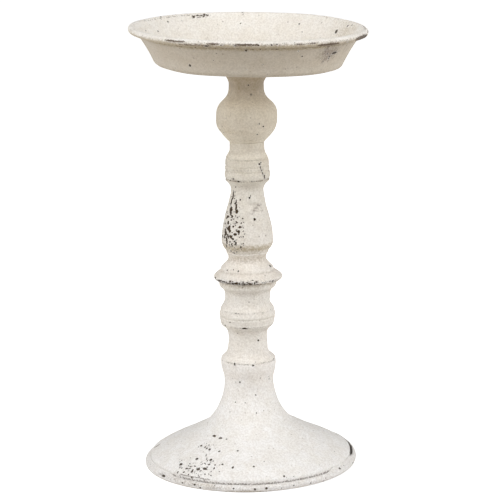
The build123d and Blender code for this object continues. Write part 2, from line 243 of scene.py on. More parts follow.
def settled(radius, angle, height, dents=()):
    """Where each point of the true round stack stands on this one, in the frame.

    A dent is (height, angle, how tall, how broad, depth)."""
    wide = smooth_step(radius, *RIM_PART)
    high = height > PAN_FROM
    low = height < FOOT_TOP
    spread = ripple(angle, height, STEM_WAVES) * (1 - wide)
    spread += wide * high * ripple(angle, 0, PAN_ROUND_WAVES)
    spread += wide * low * ripple(angle, 0, FOOT_ROUND_WAVES)
    lift = wide * high * ripple(angle, 0, PAN_EDGE_WAVES)
    skin = smooth_step(radius, *SKIN_STARTS) * (1 - smooth_step(radius, *SKIN_ENDS))
    lift += low * skin * ripple(angle, radius, FOOT_SKIN_WAVES)
    lift += low * smooth_step(radius, *LIFT_STARTS) * ripple(angle, 0, FOOT_LIFT_WAVES)
    bend_at, bend_spread, bend_lift = BEAD_BEND
    bent = np.exp(-(turned_from(angle, bend_at) / math.radians(bend_spread)) ** 2)
    lift += low * (radius > BEAD_FROM) * (1 - smooth_step(height, *BEAD_BEND_ENDS)) * bend_lift * bent
    bridged = low * (height > SEAM_LOW) * (height < SEAM_HIGH)
    bridged = bridged * (1 - smooth_step(radius, *SEAM_OUTER)) * (radius > SEAM_INNER)
    for open_at, half in SEAM_OPEN:
        away = np.degrees(np.abs(turned_from(angle, open_at)))
        bridged = bridged * smooth_step(away, half, half + BRIDGE_RUN_OUT)
    lift += BRIDGE_LIFT * bridged
    spread -= BRIDGE_IN * bridged
    for at_height, at_angle, tall, broad, depth in dents:
        away = turned_from(angle, at_angle)
        near = ((height - at_height) / tall) ** 2 + (away * radius / broad) ** 2
        spread -= depth * np.exp(-near)
    spread *= smooth_step(radius, *STILL_CORE)
    x = (radius + spread) * np.sin(angle)
    y = -(radius + spread) * np.cos(angle)
    z = np.maximum(height + lift, 0)
    tilt = FLOOR_DROP * smooth_step(height, NECK_BEND_LOW, PAN_SEAT)
    tilt += (RIM_DROP - FLOOR_DROP) * smooth_step(height, PAN_SEAT, PAN_TOP)
    x, z = (
        x * np.cos(tilt) + (z - PAN_SEAT) * np.sin(tilt) * high,
        np.where(high, PAN_SEAT + (z - PAN_SEAT) * np.cos(tilt), z) - x * np.sin(tilt),
    )
    stand, shift = zip(*WANDER)
    x = x + np.interp(height, stand, shift)
    return np.stack((x, y, z), -1) * MM


# ------------------------------------------------------------------ turned pieces
BEND_REACH = 0.9                  # how far apart two turns still count as one worn edge or one fold
TIGHT_REACH = 0.25                # and as one tight round that needs closer points
TIGHT_GAIN, TIGHT_MOST = 2.2, 2.0  # how many more points a tight round gets, and the most
EDGE_FROM, EDGE_SPAN = 0.09, 0.35  # bend at which an edge starts to wear, and how much more wears it fully
FOLD_FROM, FOLD_SPAN = 0.05, 0.25  # the same for a fold that holds dirt and painted shade
SLOPE_POINTS = 4                  # points each way over which the slope is taken
UNDER_GAIN = 2                    # what leans out by 30 degrees or more faces down in full
BEHIND = (1.6, 2.1)               # radians from the front between which the turned-away side starts
FRONT_EDGE = 0.25                 # how much edges are worn by chance at the front, where marks are placed
MARK_REACH = 2                    # how many times its size a mark fades over
LINE_END = 4                      # how much slower a line fades along its length than across it
STRAY_ANGLES = (100, 260)         # where more chips are placed by chance
STRAY_SIZES = (0.5, 1.1)
STRAY_STRENGTHS = (0.7, 0.95)


def ring_of(node, step, soft, inside_step=None, inside=None):
    """The node's section ready to turn: its points, and edge, crease, under and hidden for each of them.

    edge and crease say how sharply it bulges or folds, under how far it faces down, and hidden
    whether it is on the inside."""
    dense = flowing(section(node))
    _, length = travel(dense)
    fine = spaced(dense, int(length / DENSE_STEP))
    fine = blurred(fine, soft / DENSE_STEP)
    bend = bend_of(fine, DENSE_STEP, BEND_REACH)
    tight = np.abs(bend_of(fine, DENSE_STEP, TIGHT_REACH))
    hidden = np.zeros(len(fine), bool) if inside is None else inside(fine)
    weight = (1 + np.minimum(TIGHT_MOST, TIGHT_GAIN * tight)) / step
    if inside_step:
        weight = np.where(hidden, 1 / inside_step, weight)
    gathered = np.cumsum(weight * DENSE_STEP)
    count = int(gathered[-1])
    wanted = (np.arange(count) + 0.5) * gathered[-1] / count
    index = np.searchsorted(gathered, wanted)
    edge = np.clip((bend[index] - EDGE_FROM) / EDGE_SPAN, 0, 1)
    crease = np.clip((-bend[index] - FOLD_FROM) / FOLD_SPAN, 0, 1)
    legs = np.roll(fine, -SLOPE_POINTS, 0) - np.roll(fine, SLOPE_POINTS, 0)
    under = np.clip(UNDER_GAIN * legs[:, 0] / np.hypot(legs[:, 0], legs[:, 1]), 0, 1)
    return fine[index], edge, crease, under[index], hidden[index].astype(float)


def value_on(mesh, name, values):
    attribute = mesh.attributes.new(name, "FLOAT", "POINT")
    attribute.data.foreach_set("value", np.asarray(values, np.float32).ravel())


def patched(radius, angle, height, patches):
    """1 in the middle of each patch, down to 0 at MARK_REACH times its size.

    A patch is (radius, height, angle, size down the surface, size around it, strength)."""
    found = np.zeros_like(radius)
    for at_radius, at_height, at_angle, down, around, strength in patches:
        away = turned_from(angle, at_angle)
        slope = np.hypot(radius - at_radius, height - at_height) / down
        side = away * at_radius / around
        found = np.maximum(found, strength * np.clip(1 - np.hypot(slope, side) / MARK_REACH, 0, 1))
    return found


def lined(radius, angle, height, lines):
    """1 along each line round the axis, down to 0 at MARK_REACH times its width.

    A line is (radius, height, from angle, to angle, width, strength)."""
    found = np.zeros_like(radius)
    for at_radius, at_height, start, stop, width, strength in lines:
        half = math.radians(stop - start) / 2
        past = np.clip(np.abs(turned_from(angle, (start + stop) / 2)) - half, 0, None) * at_radius
        away = np.hypot(radius - at_radius, height - at_height)
        share = np.clip(1 - np.hypot(away, past / LINE_END) / (MARK_REACH * width), 0, 1)
        found = np.maximum(found, strength * share)
    return found


def strays(outline, hidden, seed, count):
    """A few more chips on the side that is turned away, placed by chance."""
    chance = np.random.default_rng(seed)
    found = []
    for row in chance.choice(np.flatnonzero(hidden == 0), count):
        angle = chance.uniform(*STRAY_ANGLES)
        down, around = chance.uniform(*STRAY_SIZES, 2)
        found.append((*outline[row], angle, down, around, chance.uniform(*STRAY_STRENGTHS)))
    return found


def placed(mesh, name, node, material):
    """The mesh as a piece that stands for a CAD node."""
    mesh.materials.clear()
    mesh.materials.append(material)
    piece = bpy.data.objects.new(name, mesh)
    bpy.context.scene.collection.objects.link(piece)
    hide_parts(node)
    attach(piece, BODY)


def turned(name, node, material, segments, step, soft=0.3, wear=None, seed=1, stray=0,
           inside=None, inside_step=None, dusty=1.0):
    """A shell or a wire turned from its node's section, with its wear in vertex attributes.

    segments counts its points round the axis, step spaces them down the section, soft rounds the
    corners, and stray counts the chips that are placed by chance.  inside picks the part of the
    section that has inside_step instead, and dusty says how dirty that part is."""
    wear = wear or {}
    outline, edge, crease, under, hidden = ring_of(node, step, soft, inside_step, inside)
    rows = len(outline)
    angle = np.arange(segments) * 2 * math.pi / segments
    radius = np.repeat(outline[:, 0], segments)
    height = np.repeat(outline[:, 1], segments)
    angle = np.tile(angle, rows)
    points = settled(radius, angle, height, wear.get("dents", ()))
    i, j = np.meshgrid(np.arange(rows), np.arange(segments), indexing="ij")
    following, beside = (i + 1) % rows, (j + 1) % segments
    quads = np.stack(
        (i * segments + j, i * segments + beside, following * segments + beside,
         following * segments + j), -1
    ).reshape(-1, 4)
    mesh = bpy.data.meshes.new(name)
    mesh.vertices.add(len(points))
    mesh.vertices.foreach_set("co", points.astype(np.float32).ravel())
    mesh.loops.add(len(quads) * 4)
    mesh.loops.foreach_set("vertex_index", quads.astype(np.int32).ravel())
    mesh.polygons.add(len(quads))
    mesh.polygons.foreach_set("loop_start", np.arange(len(quads), dtype=np.int32) * 4)
    mesh.update(calc_edges=True)
    mesh.validate()
    mesh.shade_smooth()
    behind = smooth_step(np.abs(turned_from(angle, 0)), *BEHIND)
    value_on(mesh, "edge", np.repeat(edge, segments) * (FRONT_EDGE + (1 - FRONT_EDGE) * behind))
    for label, values in (("crease", crease), ("under", under), ("hidden", hidden * dusty)):
        value_on(mesh, label, np.repeat(values, segments))
    chips = tuple(wear.get("chips", ())) + tuple(strays(outline, hidden, seed, stray))
    value_on(mesh, "chips", patched(radius, angle, height, chips))
    for label in ("scatter", "smears_and_shade", "stains_and_shade"):
        value_on(mesh, label, patched(radius, angle, height, wear.get(label, ())))
    value_on(mesh, "seams", lined(radius, angle, height, wear.get("seams", ())))
    placed(mesh, name, node, material)


def fastener(name, node, material):
    """A fastener as its CAD node has it, moved with the stack that it holds together."""
    mesh = nodes[node].data.copy()
    mesh.name = name
    points = points_of(mesh)
    radius = np.hypot(points[:, 0], points[:, 1])
    angle = np.arctan2(points[:, 0], -points[:, 1])
    points = settled(radius, angle, points[:, 2])
    mesh.vertices.foreach_set("co", points.astype(np.float32).ravel())
    mesh.update()
    placed(mesh, name, node, material)


# ------------------------------------------------------------------ shader helpers
class Nodes:
    """Short ways to add and join the nodes of one shader tree."""

    def __init__(self, tree):
        self.tree = tree

    def add(self, kind, values=None, **settings):
        """A new node with its settings, and the values or links of its inputs."""
        node = self.tree.nodes.new(kind)
        for key, value in settings.items():
            setattr(node, key, value)
        for key, value in (values or {}).items():
            self.put(node.inputs[key], value)
        return node

    def put(self, socket, value):
        if isinstance(value, bpy.types.NodeSocket):
            self.tree.links.new(value, socket)
        else:
            socket.default_value = value

    def math(self, operation, one, two=0.0, clamp=False):
        node = self.add("ShaderNodeMath", {0: one, 1: two}, operation=operation)
        node.use_clamp = clamp
        return node.outputs[0]

    def span(self, value, low, high, to_low=0.0, to_high=1.0):
        """value from low..high to to_low..to_high, eased and held at both ends."""
        node = self.add(
            "ShaderNodeMapRange",
            {"Value": value, "From Min": low, "From Max": high, "To Min": to_low, "To Max": to_high},
            interpolation_type="SMOOTHSTEP",
        )
        return node.outputs["Result"]

    def mix(self, share, one, two, blend="MIX"):
        node = self.add("ShaderNodeMix", {0: share, 6: one, 7: two}, data_type="RGBA", blend_type=blend)
        return node.outputs[2]

    def noise(self, place, scale, detail=3.0, rough=0.5, warp=0.0):
        values = {
            "Vector": place, "Scale": scale, "Detail": detail, "Roughness": rough, "Distortion": warp,
        }
        return self.add("ShaderNodeTexNoise", values).outputs["Fac"]

    def attribute(self, name):
        return self.add("ShaderNodeAttribute", attribute_name=name).outputs["Fac"]

    def place(self):
        """The point on the object, in millimetres."""
        spot = self.add("ShaderNodeTexCoord").outputs["Object"]
        return self.add("ShaderNodeVectorMath", {0: spot, "Scale": 1 / MM}, operation="SCALE").outputs[0]

    def use(self, group, values):
        return self.add("ShaderNodeGroup", values, node_tree=group).outputs

    def seen_ray(self):
        """1 for what the camera, a mirror or a glass sees, and 0 for what only lights."""
        ray = self.add("ShaderNodeLightPath").outputs
        seen = self.math("MAXIMUM", ray["Is Camera Ray"], ray["Is Glossy Ray"])
        return self.math("MAXIMUM", seen, ray["Is Transmission Ray"])

    def surface(self, values):
        """A Principled shader with those values, joined to the material's output."""
        shader = self.add("ShaderNodeBsdfPrincipled", values)
        self.put(self.add("ShaderNodeOutputMaterial").inputs[0], shader.outputs[0])


def new_material(name):
    """A material without nodes yet, and the short ways to add them."""
    material = bpy.data.materials.new(name)
    material.use_nodes = True
    material.node_tree.nodes.clear()
    return material, Nodes(material.node_tree)


def effect(name, takes, gives):
    """A node group with only its sockets: (name, kind, value) taken in and (name, kind) given out."""
    tree = bpy.data.node_groups.new(name, "ShaderNodeTree")
    for label, kind, value in takes:
        socket = tree.interface.new_socket(label, in_out="INPUT", socket_type=kind)
        if value is not None:
            socket.default_value = value
    for label, kind in gives:
        tree.interface.new_socket(label, in_out="OUTPUT", socket_type=kind)
    make = Nodes(tree)
    taken = make.add("NodeGroupInput").outputs
    given = make.add("NodeGroupOutput").inputs
    return tree, make, taken, given


FLOAT, COLOR, VECTOR = "NodeSocketFloat", "NodeSocketColor", "NodeSocketVector"
CHIP_BREAK = (0.47, 0.55)         # strength of a mark at which its paint breaks away
CHIP_LIP = (0.34, 0.46)           # and at which the paint round it is lifted
FLAKE_SCALE = 0.7                 # flakes a millimetre
FLAKE_SHAKE = 2.4                 # how far the pattern of the flakes is pushed about
FLAKE_SIZES = (0.22, 0.52)
FLAKE_BREAK = (0.0, 0.05)
FLAKE_LIP = (-0.12, 0.0)
FLAKE_SHARE = 0.72                # at most this share of the flakes have come off
EDGE_BREAK = (0.22, 0.28)         # strength at which a worn edge shows metal
LINE_BREAK = (0.42, 0.62)         # strength at which a seam has lost its paint


def flaking():
    """Where the paint has come off: at placed chips, in scattered flakes and along worn edges."""
    tree, make, taken, given = effect(
        "flaking paint",
        [("Place", VECTOR, None), ("Chips", FLOAT, 0.0), ("Scatter", FLOAT, 0.0),
         ("Seams", FLOAT, 0.0), ("Edge", FLOAT, 0.0), ("Edge Wear", FLOAT, 0.3)],
        [("Bare", FLOAT), ("Lip", FLOAT), ("Line", FLOAT)],
    )
    ragged = make.math("SUBTRACT", make.noise(taken["Place"], 0.95, 4.0, 0.6), 0.5)
    chip = make.math("ADD", taken["Chips"], make.math("MULTIPLY", ragged, 0.7))
    chip_mask = make.span(chip, *CHIP_BREAK)
    cloud = make.add("ShaderNodeTexNoise", {"Vector": taken["Place"], "Scale": FLAKE_SCALE, "Detail": 2.0})
    values = {0: cloud.outputs["Color"], "Scale": FLAKE_SHAKE}
    shaken = make.add("ShaderNodeVectorMath", values, operation="SCALE")
    moved = make.add("ShaderNodeVectorMath", {0: taken["Place"], 1: shaken.outputs[0]}, operation="ADD")
    cells = make.add("ShaderNodeTexVoronoi", {"Vector": moved.outputs[0], "Scale": FLAKE_SCALE})
    apart = make.add("ShaderNodeSeparateColor", {0: cells.outputs["Color"]})
    share = make.math("MINIMUM", make.math("MULTIPLY", taken["Scatter"], 1.3), FLAKE_SHARE)
    kept = make.math("LESS_THAN", apart.outputs[0], share)
    size = make.span(apart.outputs[1], 0.0, 1.0, *FLAKE_SIZES)
    flake = make.math("SUBTRACT", size, cells.outputs["Distance"])
    flake_mask = make.math("MULTIPLY", make.span(flake, *FLAKE_BREAK), kept)
    worn = make.math("MULTIPLY", taken["Edge"], taken["Edge Wear"])
    worn = make.math("MULTIPLY", worn, make.span(make.noise(taken["Place"], 0.055, 2.0), 0.46, 0.62))
    worn = make.math("ADD", make.math("MULTIPLY", worn, 0.3), ragged)
    worn_mask = make.math("MULTIPLY", make.span(worn, *EDGE_BREAK), make.span(taken["Edge"], 0.1, 0.3))
    bare = make.math("MAXIMUM", chip_mask, make.math("MAXIMUM", flake_mask, worn_mask))
    line = make.math("ADD", taken["Seams"], make.math("MULTIPLY", ragged, 1.5))
    line = make.math("MULTIPLY", make.span(line, *LINE_BREAK), make.span(taken["Seams"], 0.0, 0.12))
    chip_lip = make.span(chip, *CHIP_LIP)
    lip = make.math("MAXIMUM", chip_lip, make.math("MULTIPLY", make.span(flake, *FLAKE_LIP), kept))
    make.put(given["Bare"], bare)
    make.put(given["Lip"], make.math("SUBTRACT", lip, bare, clamp=True))
    make.put(given["Line"], line)
    return tree


SPECK_SIZES = (0.35, 1.0)         # shares of the size given
SPECK_EDGE = (0.55, 1.15)         # shares of the size between which a speck fades out
SPECK_STRENGTHS = (0.25, 1.0)


def pin_specks():
    """Pin-head specks in the paint, each a little different in size and in how dark it is."""
    tree, make, taken, given = effect(
        "pin specks",
        [("Place", VECTOR, None), ("Spacing", FLOAT, 6.0), ("Size", FLOAT, 0.5), ("Share", FLOAT, 0.5)],
        [("Mask", FLOAT)],
    )
    values = {"Vector": taken["Place"], "Scale": make.math("DIVIDE", 1.0, taken["Spacing"])}
    cells = make.add("ShaderNodeTexVoronoi", values)
    apart = make.add("ShaderNodeSeparateColor", {0: cells.outputs["Color"]})
    kept = make.math("LESS_THAN", apart.outputs[0], taken["Share"])
    size = make.math("MULTIPLY", taken["Size"], make.span(apart.outputs[1], 0.0, 1.0, *SPECK_SIZES))
    away = make.math("MULTIPLY", cells.outputs["Distance"], taken["Spacing"])
    inside = make.math("SUBTRACT", 1.0, make.span(make.math("DIVIDE", away, size), *SPECK_EDGE))
    strength = make.span(apart.outputs[2], 0.0, 1.0, *SPECK_STRENGTHS)
    make.put(given["Mask"], make.math("MULTIPLY", make.math("MULTIPLY", inside, kept), strength))
    return tree


BROAD_SCALE, STROKE_SCALE, MOTTLE_SCALE = 0.11, 0.22, 0.8  # clouds, strokes and dots a millimetre
STROKE_SQUASH = 3.2               # how much flatter than wide a stroke is
FINE_SHARE, STROKE_SHARE = 0.55, 0.45
BROAD_RANGE = (0.32, 0.68)
MOTTLE_RANGE = (0.35, 0.65)


def brush_marks():
    """Unevenness of a thick brushed coat: a height for bump, and a slow change of tone."""
    tree, make, taken, given = effect(
        "brushed coat",
        [("Place", VECTOR, None), ("Grain", FLOAT, 1.0)],
        [("Height", FLOAT), ("Tone", FLOAT), ("Mottle", FLOAT)],
    )
    fine = make.noise(taken["Place"], taken["Grain"], 3.0, 0.55)
    broad = make.noise(taken["Place"], BROAD_SCALE, 3.0, 0.55, 0.4)
    flatter = {"Vector": taken["Place"], "Scale": (1.0, 1.0, STROKE_SQUASH)}
    strokes = make.noise(make.add("ShaderNodeMapping", flatter).outputs[0], STROKE_SCALE, 3.0, 0.6)
    dots = make.noise(taken["Place"], MOTTLE_SCALE, 4.0, 0.7)
    fine, strokes = make.math("MULTIPLY", fine, FINE_SHARE), make.math("MULTIPLY", strokes, STROKE_SHARE)
    make.put(given["Height"], make.math("ADD", fine, strokes))
    make.put(given["Tone"], make.span(broad, *BROAD_RANGE))
    make.put(given["Mottle"], make.span(dots, *MOTTLE_RANGE))
    return tree


STEEL_DARK = (0.012, 0.008, 0.004, 1)
STEEL_GREY = (0.056, 0.041, 0.028, 1)
STEEL_RUST = (0.075, 0.042, 0.020, 1)
STEEL_ROUGH = (0.45, 0.7)


def bare_steel():
    """Dark oxidised sheet under the paint: a colour with grey and brown in it, and its roughness."""
    tree, make, taken, given = effect(
        "bare steel",
        [("Place", VECTOR, None), ("Rust", FLOAT, 0.2)],
        [("Color", COLOR), ("Roughness", FLOAT)],
    )
    grain = make.noise(taken["Place"], 0.8, 4.0, 0.6)
    patch = make.noise(taken["Place"], 0.18, 2.0, 0.5)
    color = make.mix(make.span(grain, 0.35, 0.70), STEEL_DARK, STEEL_GREY)
    rust = make.math("MULTIPLY", make.span(patch, 0.50, 0.68), taken["Rust"])
    make.put(given["Color"], make.mix(rust, color, STEEL_RUST))
    make.put(given["Roughness"], make.span(grain, 0.3, 0.7, *STEEL_ROUGH))
    return tree


FLAKING = flaking()
SPECKS = pin_specks()
BRUSHED = brush_marks()
STEEL = bare_steel()


# ------------------------------------------------------------------ finishes
def by_height(make, up, stops):
    """A colour that changes with height between stops of (height, colour), lowest first."""
    low, high = stops[0][0], stops[-1][0]
    share = make.math("DIVIDE", make.math("SUBTRACT", up, low), high - low, clamp=True)
    ramp = make.add("ShaderNodeValToRGB", {0: share})
    marks = ramp.color_ramp.elements
    for mark, (height, color) in zip((marks[0], marks[1]), (stops[0], stops[-1])):
        mark.position, mark.color = (height - low) / (high - low), (*color, 1)
    for height, color in stops[1:-1]:
        marks.new((height - low) / (high - low)).color = (*color, 1)
    return ramp.outputs[0]


CLOUDED = (0.90, 0.87, 0.82, 1)   # multiplies the coat in broad clouds
CLOUDED_SHARE = 0.45
MOTTLED = (0.785, 0.765, 0.745, 1)  # multiplies it in a fine mottle
GRIME_AND_SHADE = (0.36, 0.30, 0.24, 1)     # dirt and painted shade in the folds
SOILS_AND_SHADE = (                         # attribute, colour and share of what is laid over the coat: stains and smears, some of them painted shade
    ("stains_and_shade", (0.36, 0.28, 0.16, 1), 0.75),
    ("smears_and_shade", (0.165, 0.125, 0.10, 1), 0.72),
)
SPECK_KINDS = (                   # spacing, size, part of speck_share, depth and colour
    (1.9, 0.42, 1.0, 0.42, (0.26, 0.20, 0.16, 1)),
    (3.8, 0.72, 1.0, 0.62, (0.18, 0.13, 0.10, 1)),
    (11.0, 1.0, 0.9, 0.85, (0.06, 0.05, 0.045, 1)),
)
LIFTED = (0.92, 0.91, 0.89, 1)    # paint that is lifted round a chip
LIFTED_SHARE = 0.45
LINE_BARE = (0.056, 0.038, 0.024, 1)  # along a seam that has lost its paint
DUST = (0.30, 0.25, 0.20, 1)      # inside the shells
DUST_SHARE = 0.5
SOIL_SHOWS = (0.03, 0.75)         # strength of a stain or smear between which it shows
CHIP_RUST = 0.35                  # how much of the bare metal is brown
PAINT_GRAIN = 1.1                 # grains a millimetre
PAINT_ROUGH = (0.62, 0.62, 0.62, 1)
PAINT_SHINE = (1, 1, 1, 1)        # tint of the highlights on paint
METAL_SHINE = (0.85, 0.58, 0.36, 1)  # and on bare metal
PAINT_SPECULAR = 0.35
PAINT_RELIEF = 0.45               # height of the brush marks and depth of a chip


def painted(name, coats_and_shade, down_shade, edge_wear=0.3, grime_and_shade=0.35, speck_share=0.5, bare_share=1.0,
            line_share=0.75, mottling=0.85):
    """Thick matt paint, chipped down to dark steel, in coat colours by height that also carry painted shade
    and highlights; what faces down is darkened by a painted shade.

    bare_share and line_share say how clean the metal is where a chip or a line has lost its paint."""
    material, make = new_material(name)
    place = make.place()
    coat = make.use(BRUSHED, {"Place": place, "Grain": PAINT_GRAIN})
    flakes = make.use(FLAKING, {
        "Place": place, "Chips": make.attribute("chips"), "Scatter": make.attribute("scatter"),
        "Seams": make.attribute("seams"), "Edge": make.attribute("edge"), "Edge Wear": edge_wear,
    })
    up = make.add("ShaderNodeSeparateXYZ", {0: place}).outputs["Z"]
    toned = by_height(make, up, coats_and_shade)
    # painted shade: what faces down is darkened by the down-facing tint
    toned = make.mix(make.attribute("under"), toned, down_shade, "MULTIPLY")
    toned = make.mix(make.math("MULTIPLY", coat["Tone"], CLOUDED_SHARE), toned, CLOUDED, "MULTIPLY")
    toned = make.mix(make.math("MULTIPLY", coat["Mottle"], mottling), toned, MOTTLED, "MULTIPLY")
    # dirt and painted shade in the folds, broken up by the mottle
    folds = make.math("MULTIPLY", make.attribute("crease"), make.span(coat["Mottle"], 0.0, 1.0, 0.4, 1.0))
    toned = make.mix(make.math("MULTIPLY", folds, grime_and_shade), toned, GRIME_AND_SHADE)
    # stains and smears, some of which are painted shade
    for label, tint, share in SOILS_AND_SHADE:
        soil_and_shade = make.math("MULTIPLY", make.attribute(label), make.span(coat["Mottle"], 0.0, 0.9, 0.5, 1.0))
        toned = make.mix(make.span(soil_and_shade, *SOIL_SHOWS, 0.0, share), toned, tint)
    for spacing, size, part, depth, tint in SPECK_KINDS:
        specks = make.use(SPECKS, {
            "Place": place, "Spacing": spacing, "Size": size, "Share": part * speck_share,
        })
        toned = make.mix(make.math("MULTIPLY", specks["Mask"], depth), toned, tint)
    toned = make.mix(make.math("MULTIPLY", flakes["Lip"], LIFTED_SHARE), toned, LIFTED)
    toned = make.mix(make.math("MULTIPLY", flakes["Line"], line_share), toned, LINE_BARE)
    toned = make.mix(make.math("MULTIPLY", make.attribute("hidden"), DUST_SHARE), toned, DUST)
    steel = make.use(STEEL, {"Place": place, "Rust": CHIP_RUST})
    surface = make.mix(make.math("MULTIPLY", flakes["Bare"], bare_share), toned, steel["Color"])
    rough = make.mix(flakes["Bare"], PAINT_ROUGH, steel["Roughness"])
    shine = make.mix(make.math("MAXIMUM", flakes["Bare"], flakes["Line"]), PAINT_SHINE, METAL_SHINE)
    height = make.math("SUBTRACT", coat["Height"], flakes["Bare"])
    bump = make.add("ShaderNodeBump", {"Strength": 1.0, "Distance": PAINT_RELIEF * MM, "Height": height})
    make.surface({
        "Base Color": surface, "Roughness": rough, "Normal": bump.outputs[0],
        "Specular IOR Level": PAINT_SPECULAR, "Specular Tint": shine,
    })
    return material


TARNISH_SCALE = 0.35
TARNISH_SHARE = 0.45
PLATED_RELIEF = 0.05


def plated(name, tint, rough, rust):
    """Plated or sprung steel of the fasteners and wires, dulled and a little stained."""
    material, make = new_material(name)
    place = make.place()
    steel = make.use(STEEL, {"Place": place, "Rust": rust})
    clouds = make.noise(place, TARNISH_SCALE, 4.0, 0.6)
    color = make.mix(make.span(clouds, 0.35, 0.75, 0.0, TARNISH_SHARE), tint, steel["Color"])
    roughness = make.span(clouds, 0.3, 0.7, rough - 0.08, rough + 0.1)
    bump = make.add("ShaderNodeBump", {"Strength": 0.3, "Distance": PLATED_RELIEF * MM, "Height": clouds})
    make.surface(
        {"Base Color": color, "Roughness": roughness, "Metallic": 1.0, "Normal": bump.outputs[0]}
    )
    return material


# coat colours: (height, colour), lowest first.  The stem's darkens and warms towards the pan,
# partly as a warmer coat and partly as painted shade of the pan, and its lighter stops at
# 217.2, 227 and 254 mm are painted highlights.  The pan's darkens towards its floor as painted
# shade on its lower wall.
PAN_COATS_AND_SHADE = ((279, (0.81, 0.775, 0.71)), (292, (0.84, 0.81, 0.76)), (305, (0.85, 0.825, 0.78)))
STEM_COATS_AND_SHADE = (
    (74, (0.89, 0.855, 0.805)), (100, (0.855, 0.82, 0.765)), (120, (0.85, 0.815, 0.76)),
    (145, (0.855, 0.81, 0.75)), (170, (0.80, 0.765, 0.705)), (195, (0.77, 0.73, 0.655)),
    (215, (0.71, 0.66, 0.565)), (217.2, (0.79, 0.74, 0.645)),
    (219.5, (0.70, 0.65, 0.555)), (223, (0.67, 0.615, 0.52)), (225.8, (0.64, 0.585, 0.49)),
    (227, (0.79, 0.725, 0.61)), (233, (0.73, 0.665, 0.555)),
    (240, (0.64, 0.575, 0.47)), (248, (0.68, 0.615, 0.50)), (254, (0.80, 0.725, 0.595)),
    (264, (0.52, 0.44, 0.335)), (279, (0.49, 0.40, 0.29)),
)
FOOT_COATS = (
    (0, (0.86, 0.845, 0.83)), (6, (0.88, 0.865, 0.85)), (8, (0.92, 0.91, 0.895)),
    (30, (0.92, 0.91, 0.895)), (74, (0.915, 0.885, 0.85)),
)
# what faces down is multiplied by these: painted shade, strongest on the pan's outer wall
PAN_DOWN_SHADE = (0.665, 0.61, 0.53, 1)
STEM_DOWN_SHADE = (1.0, 0.99, 0.97, 1)
FOOT_DOWN_SHADE = (1.0, 0.98, 0.96, 1)
pan_paint = painted("pan_paint", PAN_COATS_AND_SHADE, PAN_DOWN_SHADE, edge_wear=0.5, grime_and_shade=0.85, bare_share=0.92,
                    line_share=0.85, mottling=0.75)
stem_paint = painted("stem_paint", STEM_COATS_AND_SHADE, STEM_DOWN_SHADE)
foot_paint = painted("foot_paint", FOOT_COATS, FOOT_DOWN_SHADE, edge_wear=0.5, grime_and_shade=0.2, speck_share=0.6,
                     bare_share=0.95, line_share=0.62)
zinc = plated("zinc_steel", (0.55, 0.56, 0.57, 1), rough=0.38, rust=0.15)
spring = plated("spring_steel", (0.16, 0.16, 0.18, 1), rough=0.42, rust=0.1)


# ------------------------------------------------------------------ the pieces
SAME_LEVEL = 0.15                 # heights nearer than this are one level
WALL_CLEAR = 0.5                  # a point this far inside the outermost wall is hidden by it
END_CLEAR = 0.3                   # but not this near to the shell's ends
FOOT_INSIDE = 69                  # radius up to which the foot's inner side is hidden
PAN_FLOOR_TOP = 280.5


def inside_shell(outline):
    """The points inside a stem shell: those that a line outwards meets a wall beyond."""
    hidden = np.zeros(len(outline), bool)
    top, foot = outline[:, 1].max(), outline[:, 1].min()
    for k, (radius, height) in enumerate(outline):
        level = np.abs(outline[:, 1] - height) < SAME_LEVEL
        outermost = outline[level, 0].max()
        hidden[k] = outermost - radius > WALL_CLEAR and foot + END_CLEAR < height < top - END_CLEAR
    return hidden


def under_foot(outline):
    """The points from the top of the foot down its inner side to the rolled edge."""
    top, rim = outline[:, 1].argmax(), outline[:, 0].argmax()
    along = (np.arange(len(outline)) - top) % len(outline)
    return (along < (rim - top) % len(outline)) & (outline[:, 0] < FOOT_INSIDE)


def pan_floor(outline):
    """The points on both sides of the pan's flat floor."""
    return outline[:, 1] < PAN_FLOOR_TOP


ROUND = (-180, 180)
